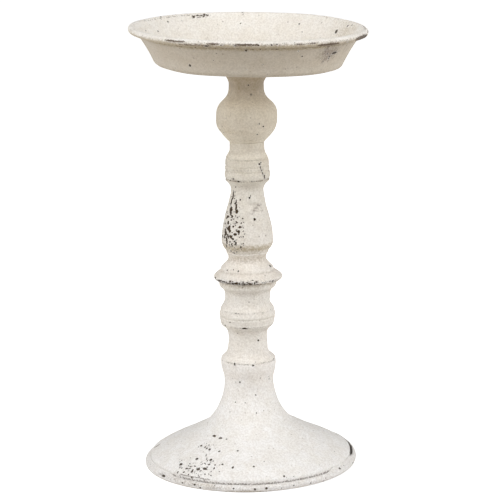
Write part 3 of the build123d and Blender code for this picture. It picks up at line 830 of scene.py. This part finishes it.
# Where each piece is worn and dirty, and where shade is painted on, by its node's name.
# chips, scatter, smears and stains, with the smears and stains also carrying painted shade: (radius,
# height, angle, size down, size around, strength)
# seams: (radius, height, from angle, to angle, width, strength)
# dents: (height, angle, how tall, how broad, depth)
WEAR = {
    "pan": {
        "chips": (
            (80.8, 302.3, -23, 0.5, 0.7, 0.75), (80.5, 301.2, -20, 0.7, 1.3, 1),
            (80.6, 301.3, 67.5, 0.9, 3.4, 1.2), (80.6, 301.6, 72, 1.1, 3, 1.3),
            (80.8, 302, -12.5, 0.7, 1.3, 0.7), (80.8, 302, -6.5, 0.7, 0.9, 0.8),
            (80.8, 302.6, 4.5, 0.6, 0.8, 0.85), (80.8, 302.6, 10.5, 0.6, 0.9, 0.85),
            (80.8, 303, 13, 0.5, 0.7, 0.85), (79, 300, 50, 0.7, 1, 0.85), (80.5, 301, 53, 0.7, 1.6, 0.7),
            (75.7, 302.5, -150.2, 1.0, 1.0, 0.95), (75.4, 302.1, -152.2, 0.6, 0.9, 0.85),
            (76.4, 303.5, -152.6, 0.5, 1.6, 0.85), (76.0, 303, -154.6, 0.5, 1.3, 0.8),
            (76.6, 303.8, -156.6, 0.7, 1.4, 1), (76.2, 303.2, -158, 1, 0.8, 0.9),
            (75.6, 302.4, -156, 0.6, 1.2, 0.85), (80.2, 304.3, -77, 0.5, 0.8, 0.7),
            (77.4, 304.5, -101, 0.5, 0.9, 0.75), (73.7, 298, -1.3, 0.8, 0.9, 1.1),
            (66.2, 285.7, -35.5, 1, 1, 1.1), (68.7, 290.3, -19.5, 0.5, 0.6, 0.85),
            (72.6, 296.4, -29.5, 0.5, 0.6, 0.85), (72.6, 296.4, -21.5, 0.5, 0.6, 0.75),
            (65.5, 284.5, -1, 0.5, 0.6, 0.8), (73.1, 297, 26, 0.7, 0.8, 0.95),
            (70.6, 293.3, 29.5, 0.7, 0.8, 1), (68.7, 290.3, 43, 0.5, 0.6, 0.85),
            (67.6, 288.3, 8, 0.5, 0.6, 0.8), (64, 281, 52, 0.4, 0.8, 0.7),
            (71.4, 296.2, -120, 0.8, 0.8, 1), (74.3, 300.5, -109, 0.5, 0.6, 0.85),
            (74.7, 301, -118, 0.6, 0.6, 0.85), (74.7, 301, -132, 0.8, 0.9, 1),
            (76, 303, -128, 0.6, 0.7, 0.85), (74.3, 300.5, -142, 0.6, 0.6, 0.85),
            (72, 297, -163, 0.5, 0.6, 0.85), (72.2, 297.5, -176, 0.6, 0.8, 0.9),
            (72, 297, -145, 0.5, 0.5, 0.8), (70.6, 295, -174.5, 0.5, 0.5, 0.85),
            (77, 304.2, -113.5, 0.5, 0.9, 0.85), (71.9, 296.9, 121.5, 1.5, 1.2, 1.1),
            (75.2, 301.8, 114, 1.1, 0.7, 1), (76, 303, 110, 0.9, 0.6, 0.95),
            (69.5, 293.2, 124, 0.6, 0.6, 0.85), (70.6, 293.4, 52.5, 1, 2.6, 1.1),
            (69.3, 291.2, 49.5, 0.8, 1, 0.95), (70.6, 293.4, 46.5, 1, 0.7, 0.85),
            (67.6, 288.3, 46, 0.6, 0.6, 0.9), (68.3, 289.6, 49.5, 0.6, 0.6, 0.9),
            (72.6, 296.8, 43, 0.7, 0.6, 0.8),
        ),
        "seams": (
            (80.6, 303.3, -40.5, -32.5, 0.6, 1), (80.6, 301.4, -31, -26, 0.45, 0.75),
            (80.8, 302.8, -18.5, -15, 0.5, 0.9), (80.8, 302.8, -4.5, 3, 0.6, 1),
            (80.8, 302.6, 22, 26, 0.45, 0.7), (80.8, 302.8, 28.5, 31.5, 0.45, 0.7),
            (80.4, 301, 36, 44.5, 0.8, 1.2), (80.6, 301.5, 65, 73, 1.5, 1.4),
            (80.4, 303.6, 80, 92, 0.6, 0.8), (78.5, 304.6, 84, 99, 0.6, 0.8),
            (76.6, 303.8, -149, -113, 0.5, 0.6), (76.1, 303.1, -158.5, -150, 0.7, 0.75),
            (75.2, 301.8, -156, -149, 0.5, 0.6), (74.4, 299, *ROUND, 0.8, 0.5),
            (80.8, 303, -60, 62, 0.8, 0.42), (80.6, 303.8, -45, 40, 0.5, 0.42),
            (80.7, 301.4, -34, -18, 0.6, 0.6),
        ),
        "smears_and_shade": (
            (73.6, 298.2, 44.5, 2.4, 1.2, 1.2), (72.2, 295.6, 44.3, 2, 1.2, 1.2),
            (70.6, 293, 45.6, 1.6, 1.2, 1), (68.6, 290, 46.1, 1.8, 1.1, 1),
            (67.4, 288, 45.5, 1.5, 0.9, 0.7), (70.6, 293.4, 51.5, 1.1, 3, 1.6),
            (69.4, 291.4, 49.6, 1.2, 1.4, 1.3), (68.6, 290, 47.6, 1.2, 1.1, 1.1),
            (67.8, 288.8, 46, 1.4, 1, 0.9), (67.6, 288.4, 50, 1.4, 0.9, 0.8),
            (68.6, 290, 53.5, 1.8, 0.9, 0.6), (71, 294, 48, 5, 8, 0.85), (80.8, 302.6, -38, 0.9, 5, 0.7),
            (80.8, 301.6, -30, 0.8, 4, 0.8), (80.8, 301.8, -25, 1, 2.5, 0.8),
            (80.7, 301.2, -20, 0.9, 3.5, 0.9), (80.8, 302.8, -16.5, 0.8, 3, 0.8),
            (80.8, 302.4, -12, 0.8, 1.4, 0.7), (80.8, 302, -5.5, 1, 2.4, 0.8),
            (80.8, 302.6, 0, 0.8, 4, 0.8), (80.8, 302.4, 7, 0.8, 1.6, 0.6),
            (80.8, 302.6, 13, 0.9, 4, 0.6), (80.8, 302.6, 24, 0.7, 3.5, 0.7),
            (80.8, 302.8, 30, 0.7, 3, 0.7), (72.6, 296, 61.5, 3.5, 0.9, 0.55),
            (71.4, 294, 66, 3.5, 0.8, 0.45), (74, 298.6, 57, 1.4, 2.2, 0.5), (80.6, 301.2, 41, 1.3, 7, 1),
            (79, 300, 50, 1, 2.5, 1), (80.6, 301.5, 69, 2, 7, 1), (80.5, 301, 53, 1.4, 4, 0.6),
            (80, 302, 88, 3, 10, 0.2),
        ),
        "stains_and_shade": (
            (72, 296.5, 112, 8, 13, 0.5), (75, 301, 106, 3, 6, 0.5), (76, 303, 118, 2, 12, 0.4),
            # the rings at the front on the rim's lower face and on the wall under it, and the two at -76
            # and -68 degrees, are dirt and painted shadow under the rim
            (80.9, 301.7, 0, 1.4, 110, 0.7), (79.8, 300.5, 0, 1.6, 110, 0.9),
            (77.5, 300.1, 0, 1.8, 100, 1.05), (75, 299.3, 0, 1.7, 100, 1.1),
            (80.8, 301.8, -76, 1.6, 13, 0.7), (79, 300.2, -68, 1.8, 16, 0.7),
        ),
    },
    "upper_knop": {
        "chips": (
            (12, 266.3, 6, 0.6, 0.6, 0.95), (13.5, 258.7, 6, 0.5, 0.6, 0.85),
            (20.7, 241, 24, 0.6, 0.6, 0.9), (20.5, 239, 33, 0.6, 0.7, 0.9),
            (18.6, 233.5, 22, 0.6, 0.6, 0.95), (19.8, 235.6, -66, 0.6, 0.6, 0.95),
            (19, 234.3, -56, 0.5, 0.6, 0.95),
        ),
        "seams": ((15.3, 230.5, -50, 50, 0.5, 0.6), (19, 233.8, -70, -20, 0.5, 0.55)),
        "stains_and_shade": (
            # the broad stain round the front of the neck at 272 mm is painted shade of the pan
            (12.2, 272, 0, 4.5, 30, 0.4), (19.4, 235.2, -42, 2.6, 11, 0.4),
            (14.5, 229.2, 0, 1.1, 40, 0.35), (12.4, 266, -25, 7, 2.2, 0.5), (12.4, 266, 28, 7, 2.0, 0.45),
            (12.6, 264, 4, 5, 1.8, 0.35),
        ),
        "dents": (
            (255, 88, 4, 25, 0.45), (254, -88, 4, 22, 0.3), (233, -88, 3, 14, 0.5),
            (225.5, 88, 3, 14, -0.45),
        ),
    },
    "banded_collar": {
        "chips": (
            (15.6, 200.8, -24, 0.9, 0.9, 1), (15.7, 201.6, -68, 0.8, 1.2, 0.95),
            (15.7, 202.4, -38, 0.6, 0.9, 0.9), (15.6, 201.2, -50, 0.5, 0.7, 0.85),
            (15.7, 201, -14, 0.4, 1.2, 0.75), (15.7, 201.2, 12, 0.4, 1.4, 0.75),
            (15.3, 212.4, 35, 0.8, 1.2, 0.98), (15.3, 213.4, 40, 0.7, 0.8, 0.92),
            (15.1, 210.3, 37, 1.2, 0.5, 0.88), (15.6, 208, 40, 1.3, 0.5, 0.86),
            (15.7, 206, 43, 1.4, 0.5, 0.88), (16, 203.8, 47, 1.5, 0.6, 0.92),
            (16, 202.4, 50, 0.8, 0.6, 0.85), (15.3, 206.1, 76, 0.9, 0.6, 0.9),
        ),
        "seams": ((15.5, 200.9, *ROUND, 0.5, 0.6),),
        "smears_and_shade": (
            # the two round the front at 215.2 and 208.4 mm darken the groove lines, and the tall one at -68
            # degrees is painted shade down the left side
            (14.8, 215.2, -5, 0.5, 17, 0.55), (15.6, 208.4, -8, 0.55, 16, 0.6),
            (15.5, 209, -68, 6, 2.2, 0.4), (15.5, 201, -30, 0.8, 8, 0.5), (15.5, 201, 25, 0.8, 8, 0.4),
            (15.4, 209.4, 38, 1.8, 0.5, 0.9), (15.6, 206.4, 42.5, 1.8, 0.5, 0.9),
            (16, 203.4, 47.5, 1.8, 0.6, 1),
        ),
        "dents": (
            (217, 88, 2.5, 16, 0.5), (200.8, 88, 1.5, 16, 0.5), (200.8, -88, 1.5, 16, 0.45),
            (201, -38, 1.2, 2.2, 0.9), (200.9, -13, 1, 1.5, 0.7), (201, 9, 1.2, 1.6, 0.8),
            (200.9, 38, 1.1, 2, 0.7), (201, -75, 1, 2, 0.7), (200.9, 70, 1, 1.6, 0.6),
            (201, 110, 1.2, 2, 0.8), (200.9, 150, 1, 1.8, 0.7), (201, -120, 1.1, 2, 0.7),
            (200.9, -150, 1, 1.6, 0.8), (213, 20, 3, 6, 0.3), (207, -30, 3, 6, 0.25),
        ),
    },
    "pear_body": {
        "chips": (
            (12.3, 190, -57, 3.4, 0.8, 1.05), (12.9, 186, -60, 2.8, 0.8, 1), (13.2, 186, -39, 2, 0.7, 1),
            (13.7, 183, -35, 2.2, 0.8, 1.05), (14.1, 180, -31, 1.3, 1.1, 1.2),
            (13.9, 181, -54, 1.9, 1.4, 1.1), (15.3, 176, -57, 0.8, 0.8, 1.07),
            (15.6, 174, -45, 0.7, 0.7, 1.02), (16, 172.5, -15, 0.7, 0.7, 0.95),
            (16.6, 169.8, -18, 0.9, 1, 1.1), (17.1, 166.8, -21, 1, 1.1, 1.1),
            (17.4, 164.8, -29, 0.8, 1.3, 1.17), (17.6, 163, -40, 0.9, 1.3, 1.17),
            (16.9, 169, -49, 0.9, 0.9, 1.12), (17.3, 165.5, -58, 0.9, 0.8, 1.12),
            (17.6, 163, -61, 0.9, 0.8, 1.12), (17.7, 159.5, -52, 0.8, 0.8, 1.12),
            (17.7, 159, -26, 0.7, 0.7, 1.07), (11.8, 189.2, 8, 0.7, 0.8, 1),
            (11.6, 190.6, 11, 0.6, 0.4, 0.85), (15.6, 174.9, 20, 1, 1, 1.1),
            (15.6, 154.2, 5, 0.5, 1.2, 0.85), (15.8, 154.6, -27, 0.5, 0.8, 0.8),
            (14.6, 150.5, -32, 0.5, 0.6, 0.9), (17.3, 165.6, 62, 0.6, 0.6, 0.8),
            (16.9, 166.6, -61, 1, 0.7, 1.12), (17.2, 164.2, -56, 1, 0.8, 1.17),
            (17.6, 160.8, -53.5, 1.1, 0.8, 1.22), (17.7, 158.2, -52, 0.9, 0.8, 1.12),
            (15.7, 171.9, -53.5, 1.1, 0.8, 1.12), (16.3, 169.4, -47, 0.9, 0.8, 1.12),
            (16.9, 166.6, -44.5, 1, 0.9, 1.12), (17.4, 162.5, -48, 0.8, 0.8, 1.12),
            (16.2, 169.8, -36, 0.7, 0.8, 1.02), (15.7, 172.6, -27, 0.6, 0.7, 0.97),
            (14.9, 175.6, -61, 1, 0.7, 1.12), (14.7, 176.4, -44, 0.9, 0.9, 1.12),
            (16.6, 168, -53, 0.8, 0.8, 1.12), (17.5, 161.5, -33, 0.7, 1, 1.02),
            (14.4, 178.5, -52, 0.9, 1.2, 1.1), (14.4, 178.4, -73, 0.9, 0.6, 0.95),
            (15.2, 175, -65, 1.2, 0.8, 1.05), (16, 171.9, -55, 1.4, 0.7, 1),
            (17, 167.7, -47, 1.6, 1.3, 1), (17.4, 164.6, -58, 1.1, 1.2, 1.15),
            (17.5, 163.7, -50, 0.8, 0.8, 1), (17.6, 161.7, -62, 1, 1, 1.1),
        ),
        "scatter": (
            (17, 167, -52, 9, 8, 1.5), (16.4, 171, -34, 5, 5, 1.1), (17.8, 162, -46, 6, 8, 1.3),
            (14.9, 178, -48, 4, 4, 1), (13, 186, -50, 6, 4, 0.6),
        ),
        "smears_and_shade": (
            # the smears from 12 to 48 degrees between 178 and 184 mm are painted shade in the diagonal dent
            (14.1, 178.7, 12, 0.9, 2.2, 0.55), (13.8, 180.4, 21, 0.9, 2.2, 0.8),
            (13.5, 182, 31, 0.9, 2.2, 0.95), (13.1, 183.6, 41, 0.9, 2.2, 0.85),
            (13.9, 180, 48, 1.8, 1.4, 0.5), (16.1, 172, -33, 1.3, 1.3, 0.6),
            (16.8, 167, -55, 5.5, 3.5, 0.4), (17.6, 161, -48, 3, 4, 0.25), (17.7, 160, -80, 3, 3, 0.5),
        ),
        "stains_and_shade": (
            (16.8, 154.6, 0, 2.2, 32, 0.95), (14.8, 150.6, 0, 0.9, 30, 0.5),
            (16.8, 154.6, 180, 2, 30, 0.6),
        ),
        "dents": (
            (183.8, 24, 1.5, 5, 1.1), (181.2, 40, 1.8, 4, 1.0), (154.5, 88, 4, 18, -0.55),
            (178, 35, 3, 4, -0.5), (168, -15, 5, 5, 0.4), (172, 50, 4, 5, 0.5), (165, 15, 1.6, 9, 0.2),
            (160, 22, 1.6, 9, 0.2), (187, -20, 5, 4, 0.35),
        ),
    },
    "disc_collar": {
        "chips": (
            (18.3, 139.5, -49, 0.7, 0.7, 1), (17.5, 140.3, -33, 0.8, 0.6, 0.95),
            (17.9, 139.6, -20, 0.7, 0.6, 1), (17.3, 140.6, 69, 1, 1.1, 1.05),
            (23.7, 132.3, -50, 1.6, 12, 0.65), (23.7, 132, -20, 1.7, 12, 0.67),
            (23.8, 132, 5, 1.6, 8, 0.65), (23.8, 132.4, 40, 1.3, 14, 0.58),
            (23.8, 133.2, -73, 0.9, 1.3, 1.1), (23.9, 132.8, -42, 0.6, 2, 0.9),
            (23.9, 132, -30, 0.6, 1.6, 0.88), (23.9, 131.9, -12, 0.6, 2.2, 0.92),
            (23.9, 132, -2, 0.6, 1.3, 0.85), (24, 132.6, 12, 0.7, 1.3, 1), (22.2, 134, 8.5, 0.6, 0.9, 1),
            (24, 132.3, 20, 0.5, 1.5, 0.9), (24, 132.2, 36, 0.5, 1.5, 0.8),
            (23.8, 132.8, 52, 0.5, 1.6, 0.8), (23.5, 133.6, 66, 0.5, 1.5, 0.8),
            (23.8, 132.2, 110, 0.8, 3, 0.8), (23.8, 132.2, 150, 0.7, 2, 0.9),
            (23.8, 132.2, -120, 0.7, 3, 0.8), (23.8, 132.2, -160, 0.8, 2, 0.9),
            (23.2, 131.3, -36, 0.5, 1.4, 0.85), (23.2, 131.2, -21, 0.5, 1.2, 0.85),
            (23.1, 131.1, -7, 0.6, 1.8, 0.9), (23.2, 131.2, 4, 0.5, 1.2, 0.85),
            (23.2, 131.3, 16, 0.5, 1.2, 0.85), (23.2, 131.3, 30, 0.5, 1, 0.8),
            (23.2, 131.3, 46, 0.5, 1.2, 0.8), (23.1, 133.4, -31, 0.5, 1.2, 0.9),
            (23.2, 133.2, -26, 0.5, 1, 0.85), (23.3, 133, -17, 0.5, 1, 0.8),
            (23.1, 133.3, -8, 0.6, 0.9, 0.9), (23.3, 133, -1, 0.5, 1, 0.8),
            (23.2, 133.2, 14, 0.6, 1.2, 0.9),
        ),
        "seams": ((23.8, 132, *ROUND, 0.8, 0.5),),
        "smears_and_shade": (
            (23.7, 131.8, -45, 0.9, 10, 0.9), (23.7, 131.6, -12, 1.1, 10, 1),
            (23.7, 132, 45, 0.7, 12, 0.5), (23.1, 131.2, -42, 1, 9, 0.9), (23.1, 131.1, -14, 1.2, 10, 1),
            (23.1, 131.2, 12, 1.1, 8, 0.9), (23.1, 131.3, 42, 0.9, 9, 0.6),
            (23.2, 133.2, -26, 0.9, 9, 0.5), (23.2, 133.2, -3, 1, 9, 0.55), (23.2, 133.2, 13, 1, 4, 0.55),
        ),
        # the stain at 130.9 mm darkens the underside of the disc
        "stains_and_shade": ((13.2, 147, 0, 2.4, 34, 0.4), (22.4, 130.9, 0, 1.5, 70, 0.7)),
        "dents": ((132, 85, 2.2, 26, -0.7), (146, 30, 3, 5, 0.25), (143, -40, 3, 5, 0.2)),
    },
    "banded_vase": {
        "chips": (
            (18.2, 99.2, -6, 0.9, 1.9, 1.1), (18.6, 99.3, 19, 0.4, 1.2, 0.85),
            (18.5, 98.8, 44, 0.4, 1.5, 0.8), (18.9, 103.1, -40, 0.6, 0.6, 0.95),
            (18.4, 100, -57, 0.6, 0.9, 0.95), (19.5, 107.5, 10, 0.5, 0.5, 0.8),
            (19.2, 104.9, -8, 0.4, 2, 0.8), (18.5, 110, -25, 0.5, 0.6, 0.85),
            (18.4, 110.4, 60, 0.5, 0.5, 0.8),
        ),
        "seams": (
            (19.2, 104.8, *ROUND, 0.5, 0.55), (18.7, 99.6, *ROUND, 0.5, 0.6),
            (18.5, 109.8, -60, 70, 0.5, 0.45),
        ),
        "smears_and_shade": ((18.7, 99.4, -6, 0.7, 22, 0.5), (18.5, 109.7, 0, 0.7, 26, 0.3)),
        # this stain darkens the ring under the disc
        "stains_and_shade": ((19.6, 129.2, 0, 1.6, 50, 0.45),),
        "dents": ((114, 88, 3, 20, 0.5), (118, -25, 4, 6, 0.25), (112, 30, 4, 6, 0.2)),
    },
    "shoulder_neck": {
        "chips": (
            (13.5, 89.3, 33, 0.7, 0.8, 1), (19, 74.6, -30, 0.6, 0.8, 1), (19.2, 74.4, 10, 0.5, 1.2, 0.95),
            (18.9, 74.9, 71, 0.5, 0.8, 0.8),
        ),
        "seams": ((18.8, 74.3, *ROUND, 0.5, 0.5),),
        "dents": ((80, 88, 2.5, 24, 0.5), (84, -30, 4, 6, 0.25), (80, 20, 3, 6, 0.2)),
    },
    "foot": {
        "chips": (
            (36.8, 25.3, -52.5, 0.6, 0.7, 0.8), (35.5, 26, -43.5, 0.9, 1.7, 1.05),
            (36.2, 25.6, -34, 0.9, 1.3, 1.05), (36.2, 25.6, -26.5, 0.7, 0.7, 0.95),
            (45.4, 20.8, -48, 0.8, 1, 1), (43.4, 21.8, -40.5, 0.7, 0.7, 0.95),
            (46.8, 20.2, -40, 0.7, 0.7, 0.95), (46.8, 20.2, -36.5, 0.9, 1, 1.05),
            (47.4, 19.9, -26.5, 0.8, 0.8, 1.05), (45.4, 20.8, -11, 0.8, 0.8, 0.95),
            (56.9, 15.5, -40, 1, 1.1, 1.05), (52.9, 17.4, -35, 0.7, 0.7, 0.95),
            (55.6, 16.1, -32.5, 0.8, 0.9, 0.8), (55.6, 16.1, -29, 1, 0.9, 1.15),
            (58.2, 14.8, -19, 0.8, 0.8, 1.05), (60.2, 13.8, -11.5, 0.9, 0.9, 1.1),
            (59.5, 14.2, 2, 0.8, 0.8, 1), (64, 11.7, -48, 1.3, 1.5, 0.95),
            (65.8, 10.5, -41.5, 1.1, 1.2, 0.8), (67.1, 9.7, -36.5, 0.9, 0.9, 1.1),
            (64.6, 11.3, -33.5, 1.1, 1.6, 1), (63.3, 12.1, -29.5, 1.1, 1.6, 1),
            (59.5, 14.2, -28, 0.9, 1, 0.8), (62.1, 12.8, -23.5, 1.4, 0.7, 0.9),
            (69.4, 8, -37.5, 0.7, 0.7, 0.9), (55.6, 16.1, 9.5, 0.6, 0.6, 0.85),
            (68.8, 8.5, 19, 0.8, 0.9, 1), (69.6, 7.6, 24.5, 0.6, 0.7, 0.85),
            (67.7, 9.3, 29, 0.6, 0.6, 0.8), (62.7, 12.4, 66.5, 0.7, 0.7, 0.85),
            (72.4, 4.8, 57, 0.9, 1, 0.95), (72.1, 4.9, 62, 0.6, 0.7, 0.85), (73.8, 2.6, 73, 0.8, 2, 0.7),
            (66, 10.4, -95, 3, 0.9, 1.05), (69.9, 6.9, -83.5, 0.6, 0.7, 0.8),
            (72.5, 4.7, -74, 0.6, 0.7, 0.8), (57.6, 15.2, -83.5, 0.6, 0.6, 0.8),
            (73.5, 3.7, -54, 0.9, 1.8, 1.1), (73.7, 2.9, -39, 0.6, 0.8, 0.9),
            (73.7, 3.3, -31, 0.8, 0.9, 1), (73.6, 1.8, -27.5, 0.7, 0.9, 0.95),
            (72.8, 4.6, -19.5, 0.6, 0.8, 0.9), (73.7, 3.3, -9, 0.7, 0.8, 0.9), (73.8, 2.6, 2, 0.8, 1, 1),
            (73.7, 2.9, 8, 0.9, 1, 1), (73.7, 2.2, 16, 0.6, 0.8, 0.8), (73.7, 2.9, 23, 0.6, 0.8, 0.9),
            (73.7, 2.2, 33, 0.6, 0.8, 0.85), (73.2, 1.1, 42, 0.6, 1, 0.95), (70, 6, 102, 2, 22, 1.3),
            (70.7, 4.6, 84.5, 0.45, 1.6, 1.3), (70.7, 4.6, 87, 0.45, 3, 1.4),
            (70.7, 4.6, 91, 0.45, 3.5, 1.3), (70.7, 4.6, 96, 0.45, 3.5, 1.2),
            *((70.7, 4.6, angle, 0.5, 3.5, 1.2) for angle in (101, 106, 111, 116)),
            (70.6, 4.6, 121, 0.5, 3.5, 1), (17.7, 52, 14, 0.6, 0.6, 0.9), (18.9, 47, -9.5, 0.6, 0.6, 0.9),
            (18.9, 47, -31, 0.5, 0.6, 0.85), (21.7, 40.3, -39, 0.5, 0.6, 0.85),
            (21.7, 40.3, 12.5, 0.6, 0.6, 0.85), (17.7, 60.9, -22, 0.9, 0.7, 1.05),
            (18, 63.4, 50, 0.6, 0.6, 0.85), (17.4, 61.6, 53, 0.7, 0.5, 0.8), (19, 73.6, -30, 0.6, 0.8, 1),
            (19.2, 73.4, 10, 0.6, 1.2, 1), (18.9, 73.6, 71, 0.5, 0.8, 0.8),
        ),
        "scatter": ((63, 12, -35, 6, 10, 0.55), (46, 20.5, -40, 4, 6, 0.4)),
        "seams": (
            (69.9, 5, -58, -48, 0.7, 0.8), (69.9, 5, -42, 48, 0.7, 0.78), (69.7, 7, -42, -24, 0.5, 0.8),
            (72.6, 0.5, -12, 10, 0.7, 0.8), (18.9, 73.9, *ROUND, 0.5, 0.5),
            (69.9, 5, 100, 260, 0.6, 0.45),
        ),
        "smears_and_shade": (
            (54, 17, 69, 7, 1.2, 0.22), (73.7, 2.8, 0, 2.6, 130, 0.24), (67, 10, -60, 5, 14, 0.1),
            (17.4, 62, 54, 2, 0.8, 0.4), (73.2, 3.9, -56, 1.2, 4, 0.7), (73.3, 3.6, -46, 1.4, 6, 0.5),
            (73.5, 3.2, -33, 1.6, 8, 0.5), (73.6, 3, -20, 1.4, 7, 0.45), (73.7, 2.4, -4, 1.2, 6, 0.35),
            (73.6, 2.2, 12, 1.2, 6, 0.3), (17.1, 58.7, 64, 1.4, 0.8, 0.3),
        ),
        "stains_and_shade": (
            (73.2, 4, -27, 1.6, 22, 0.4), (72.5, 4.6, 10, 1, 30, 0.25), (73, 1, -3, 1, 10, 0.7),
            (19, 50, -35, 16, 9, 0.12),
        ),
        "dents": ((45, 20, 9, 8, 0.25), (52, -35, 8, 7, 0.2)),
    },
}
STEM_PARTS = ("upper_knop", "banded_collar", "pear_body", "disc_collar", "banded_vase", "shoulder_neck")
FIRST_STEM_SEED = 10

turned("painted_pan", "pan", pan_paint, segments=700, step=0.75, wear=WEAR["pan"], seed=3,
       stray=14, inside=pan_floor, inside_step=1.6, dusty=0.0)
turned("painted_foot", "foot", foot_paint, segments=700, step=0.75, wear=WEAR["foot"], seed=5,
       stray=16, inside=under_foot, inside_step=2.5)
for end in ("pan", "foot"):
    turned(end + "_edge_wire", end + "_rim_wire", zinc, segments=240, step=0.8, soft=0.05)
for seed, part in enumerate(STEM_PARTS, FIRST_STEM_SEED):
    turned("painted_" + part, part, stem_paint, segments=280, step=0.5, wear=WEAR[part],
           seed=seed, stray=6, inside=inside_shell, inside_step=2.0)
for part in ("coupling_nut", "tie_rod", "foot_washer", "foot_nut"):
    fastener("zinc_" + part, part, zinc)
fastener("sprung_washer", "spring_washer", spring)
fastener("painted_screw", "pan_screw", pan_paint)


# ------------------------------------------------------------------ floor, light and camera
FLOOR_RADIUS = 6.0
FLOOR_COLOR = (0.75, 0.75, 0.75, 1)
FLOOR_GLOW_REACH = (120, 520)     # millimetres from the middle between which the floor turns white
FLOOR_GLOW = (0.74, 1.0)
WHITE = (1, 1, 1, 1)
SKY_STRENGTH = 0.02
SOFT_WHITE = (1.0, 0.995, 0.99)
LAMP_AIM = (0, 0, 0.15)
LAMPS = (                         # name, place, size and power
    ("front_softbox", (0.16, -1.34, 1.25), 2.0, 11.8),
    ("left_softbox", (-1.5, -0.6, 0.8), 1.2, 16.5),
    ("right_softbox", (1.5, -0.5, 0.8), 1.2, 16.5),
    ("overhead", (-0.25, -0.4, 1.7), 2.0, 10.9),
)
CAMERA_PLACE = (0.0, -1.5995, 0.4986)
CAMERA_PITCH = 77.724
CAMERA_ROLL = 1.0
CAMERA_LENS = 171.74
CAMERA_SENSOR = 36.0
CAMERA_SHIFT = (0.0063, 0.0)


def stage_sheet():
    """A white floor that keeps the object's shadow."""
    mesh = bpy.data.meshes.new("floor")
    shape = bmesh.new()
    bmesh.ops.create_circle(shape, cap_ends=True, segments=64, radius=FLOOR_RADIUS)
    shape.to_mesh(mesh)
    shape.free()
    material, make = new_material("floor_white")
    away = make.add("ShaderNodeVectorMath", {0: make.place()}, operation="LENGTH").outputs["Value"]
    glow = make.span(away, *FLOOR_GLOW_REACH, *FLOOR_GLOW)
    make.surface({
        "Base Color": FLOOR_COLOR, "Roughness": 1.0, "Specular IOR Level": 0.0,
        "Emission Color": WHITE, "Emission Strength": make.math("MULTIPLY", make.seen_ray(), glow),
    })
    mesh.materials.append(material)
    floor = bpy.data.objects.new("floor", mesh)
    bpy.context.scene.collection.objects.link(floor)


def soft_lamp(name, place, size, power):
    """A round soft lamp that points at the object."""
    lamp = bpy.data.lights.new(name, "AREA")
    lamp.shape = "DISK"
    lamp.size = size
    lamp.energy = power
    lamp.color = SOFT_WHITE
    holder = bpy.data.objects.new(name, lamp)
    holder.location = place
    holder.rotation_euler = (Vector(LAMP_AIM) - Vector(place)).to_track_quat("-Z", "Y").to_euler()
    bpy.context.scene.collection.objects.link(holder)


def sky():
    """A white room that gives the object hardly any light."""
    world = bpy.data.worlds.new("pale_room")
    bpy.context.scene.world = world
    world.use_nodes = True
    world.node_tree.nodes.clear()
    make = Nodes(world.node_tree)
    light = make.add("ShaderNodeBackground", {"Color": WHITE, "Strength": SKY_STRENGTH})
    white = make.add("ShaderNodeBackground", {"Color": WHITE, "Strength": 1.0})
    chosen = make.add("ShaderNodeMixShader", {0: make.seen_ray(), 1: light.outputs[0], 2: white.outputs[0]})
    make.put(make.add("ShaderNodeOutputWorld").inputs[0], chosen.outputs[0])


def camera():
    """The camera that looks at the front from a little above."""
    lens = bpy.data.cameras.new("camera")
    lens.lens = CAMERA_LENS
    lens.sensor_width = CAMERA_SENSOR
    lens.shift_x, lens.shift_y = CAMERA_SHIFT
    holder = bpy.data.objects.new("camera", lens)
    holder.location = CAMERA_PLACE
    holder.rotation_mode = "XYZ"
    holder.rotation_euler = (math.radians(CAMERA_PITCH), 0, 0)
    holder.rotation_euler.rotate_axis("Z", math.radians(-CAMERA_ROLL))
    bpy.context.scene.collection.objects.link(holder)
    bpy.context.scene.camera = holder


stage_sheet()
sky()
for lamp in LAMPS:
    soft_lamp(*lamp)
camera()
bpy.context.scene.view_settings.view_transform = "Standard"
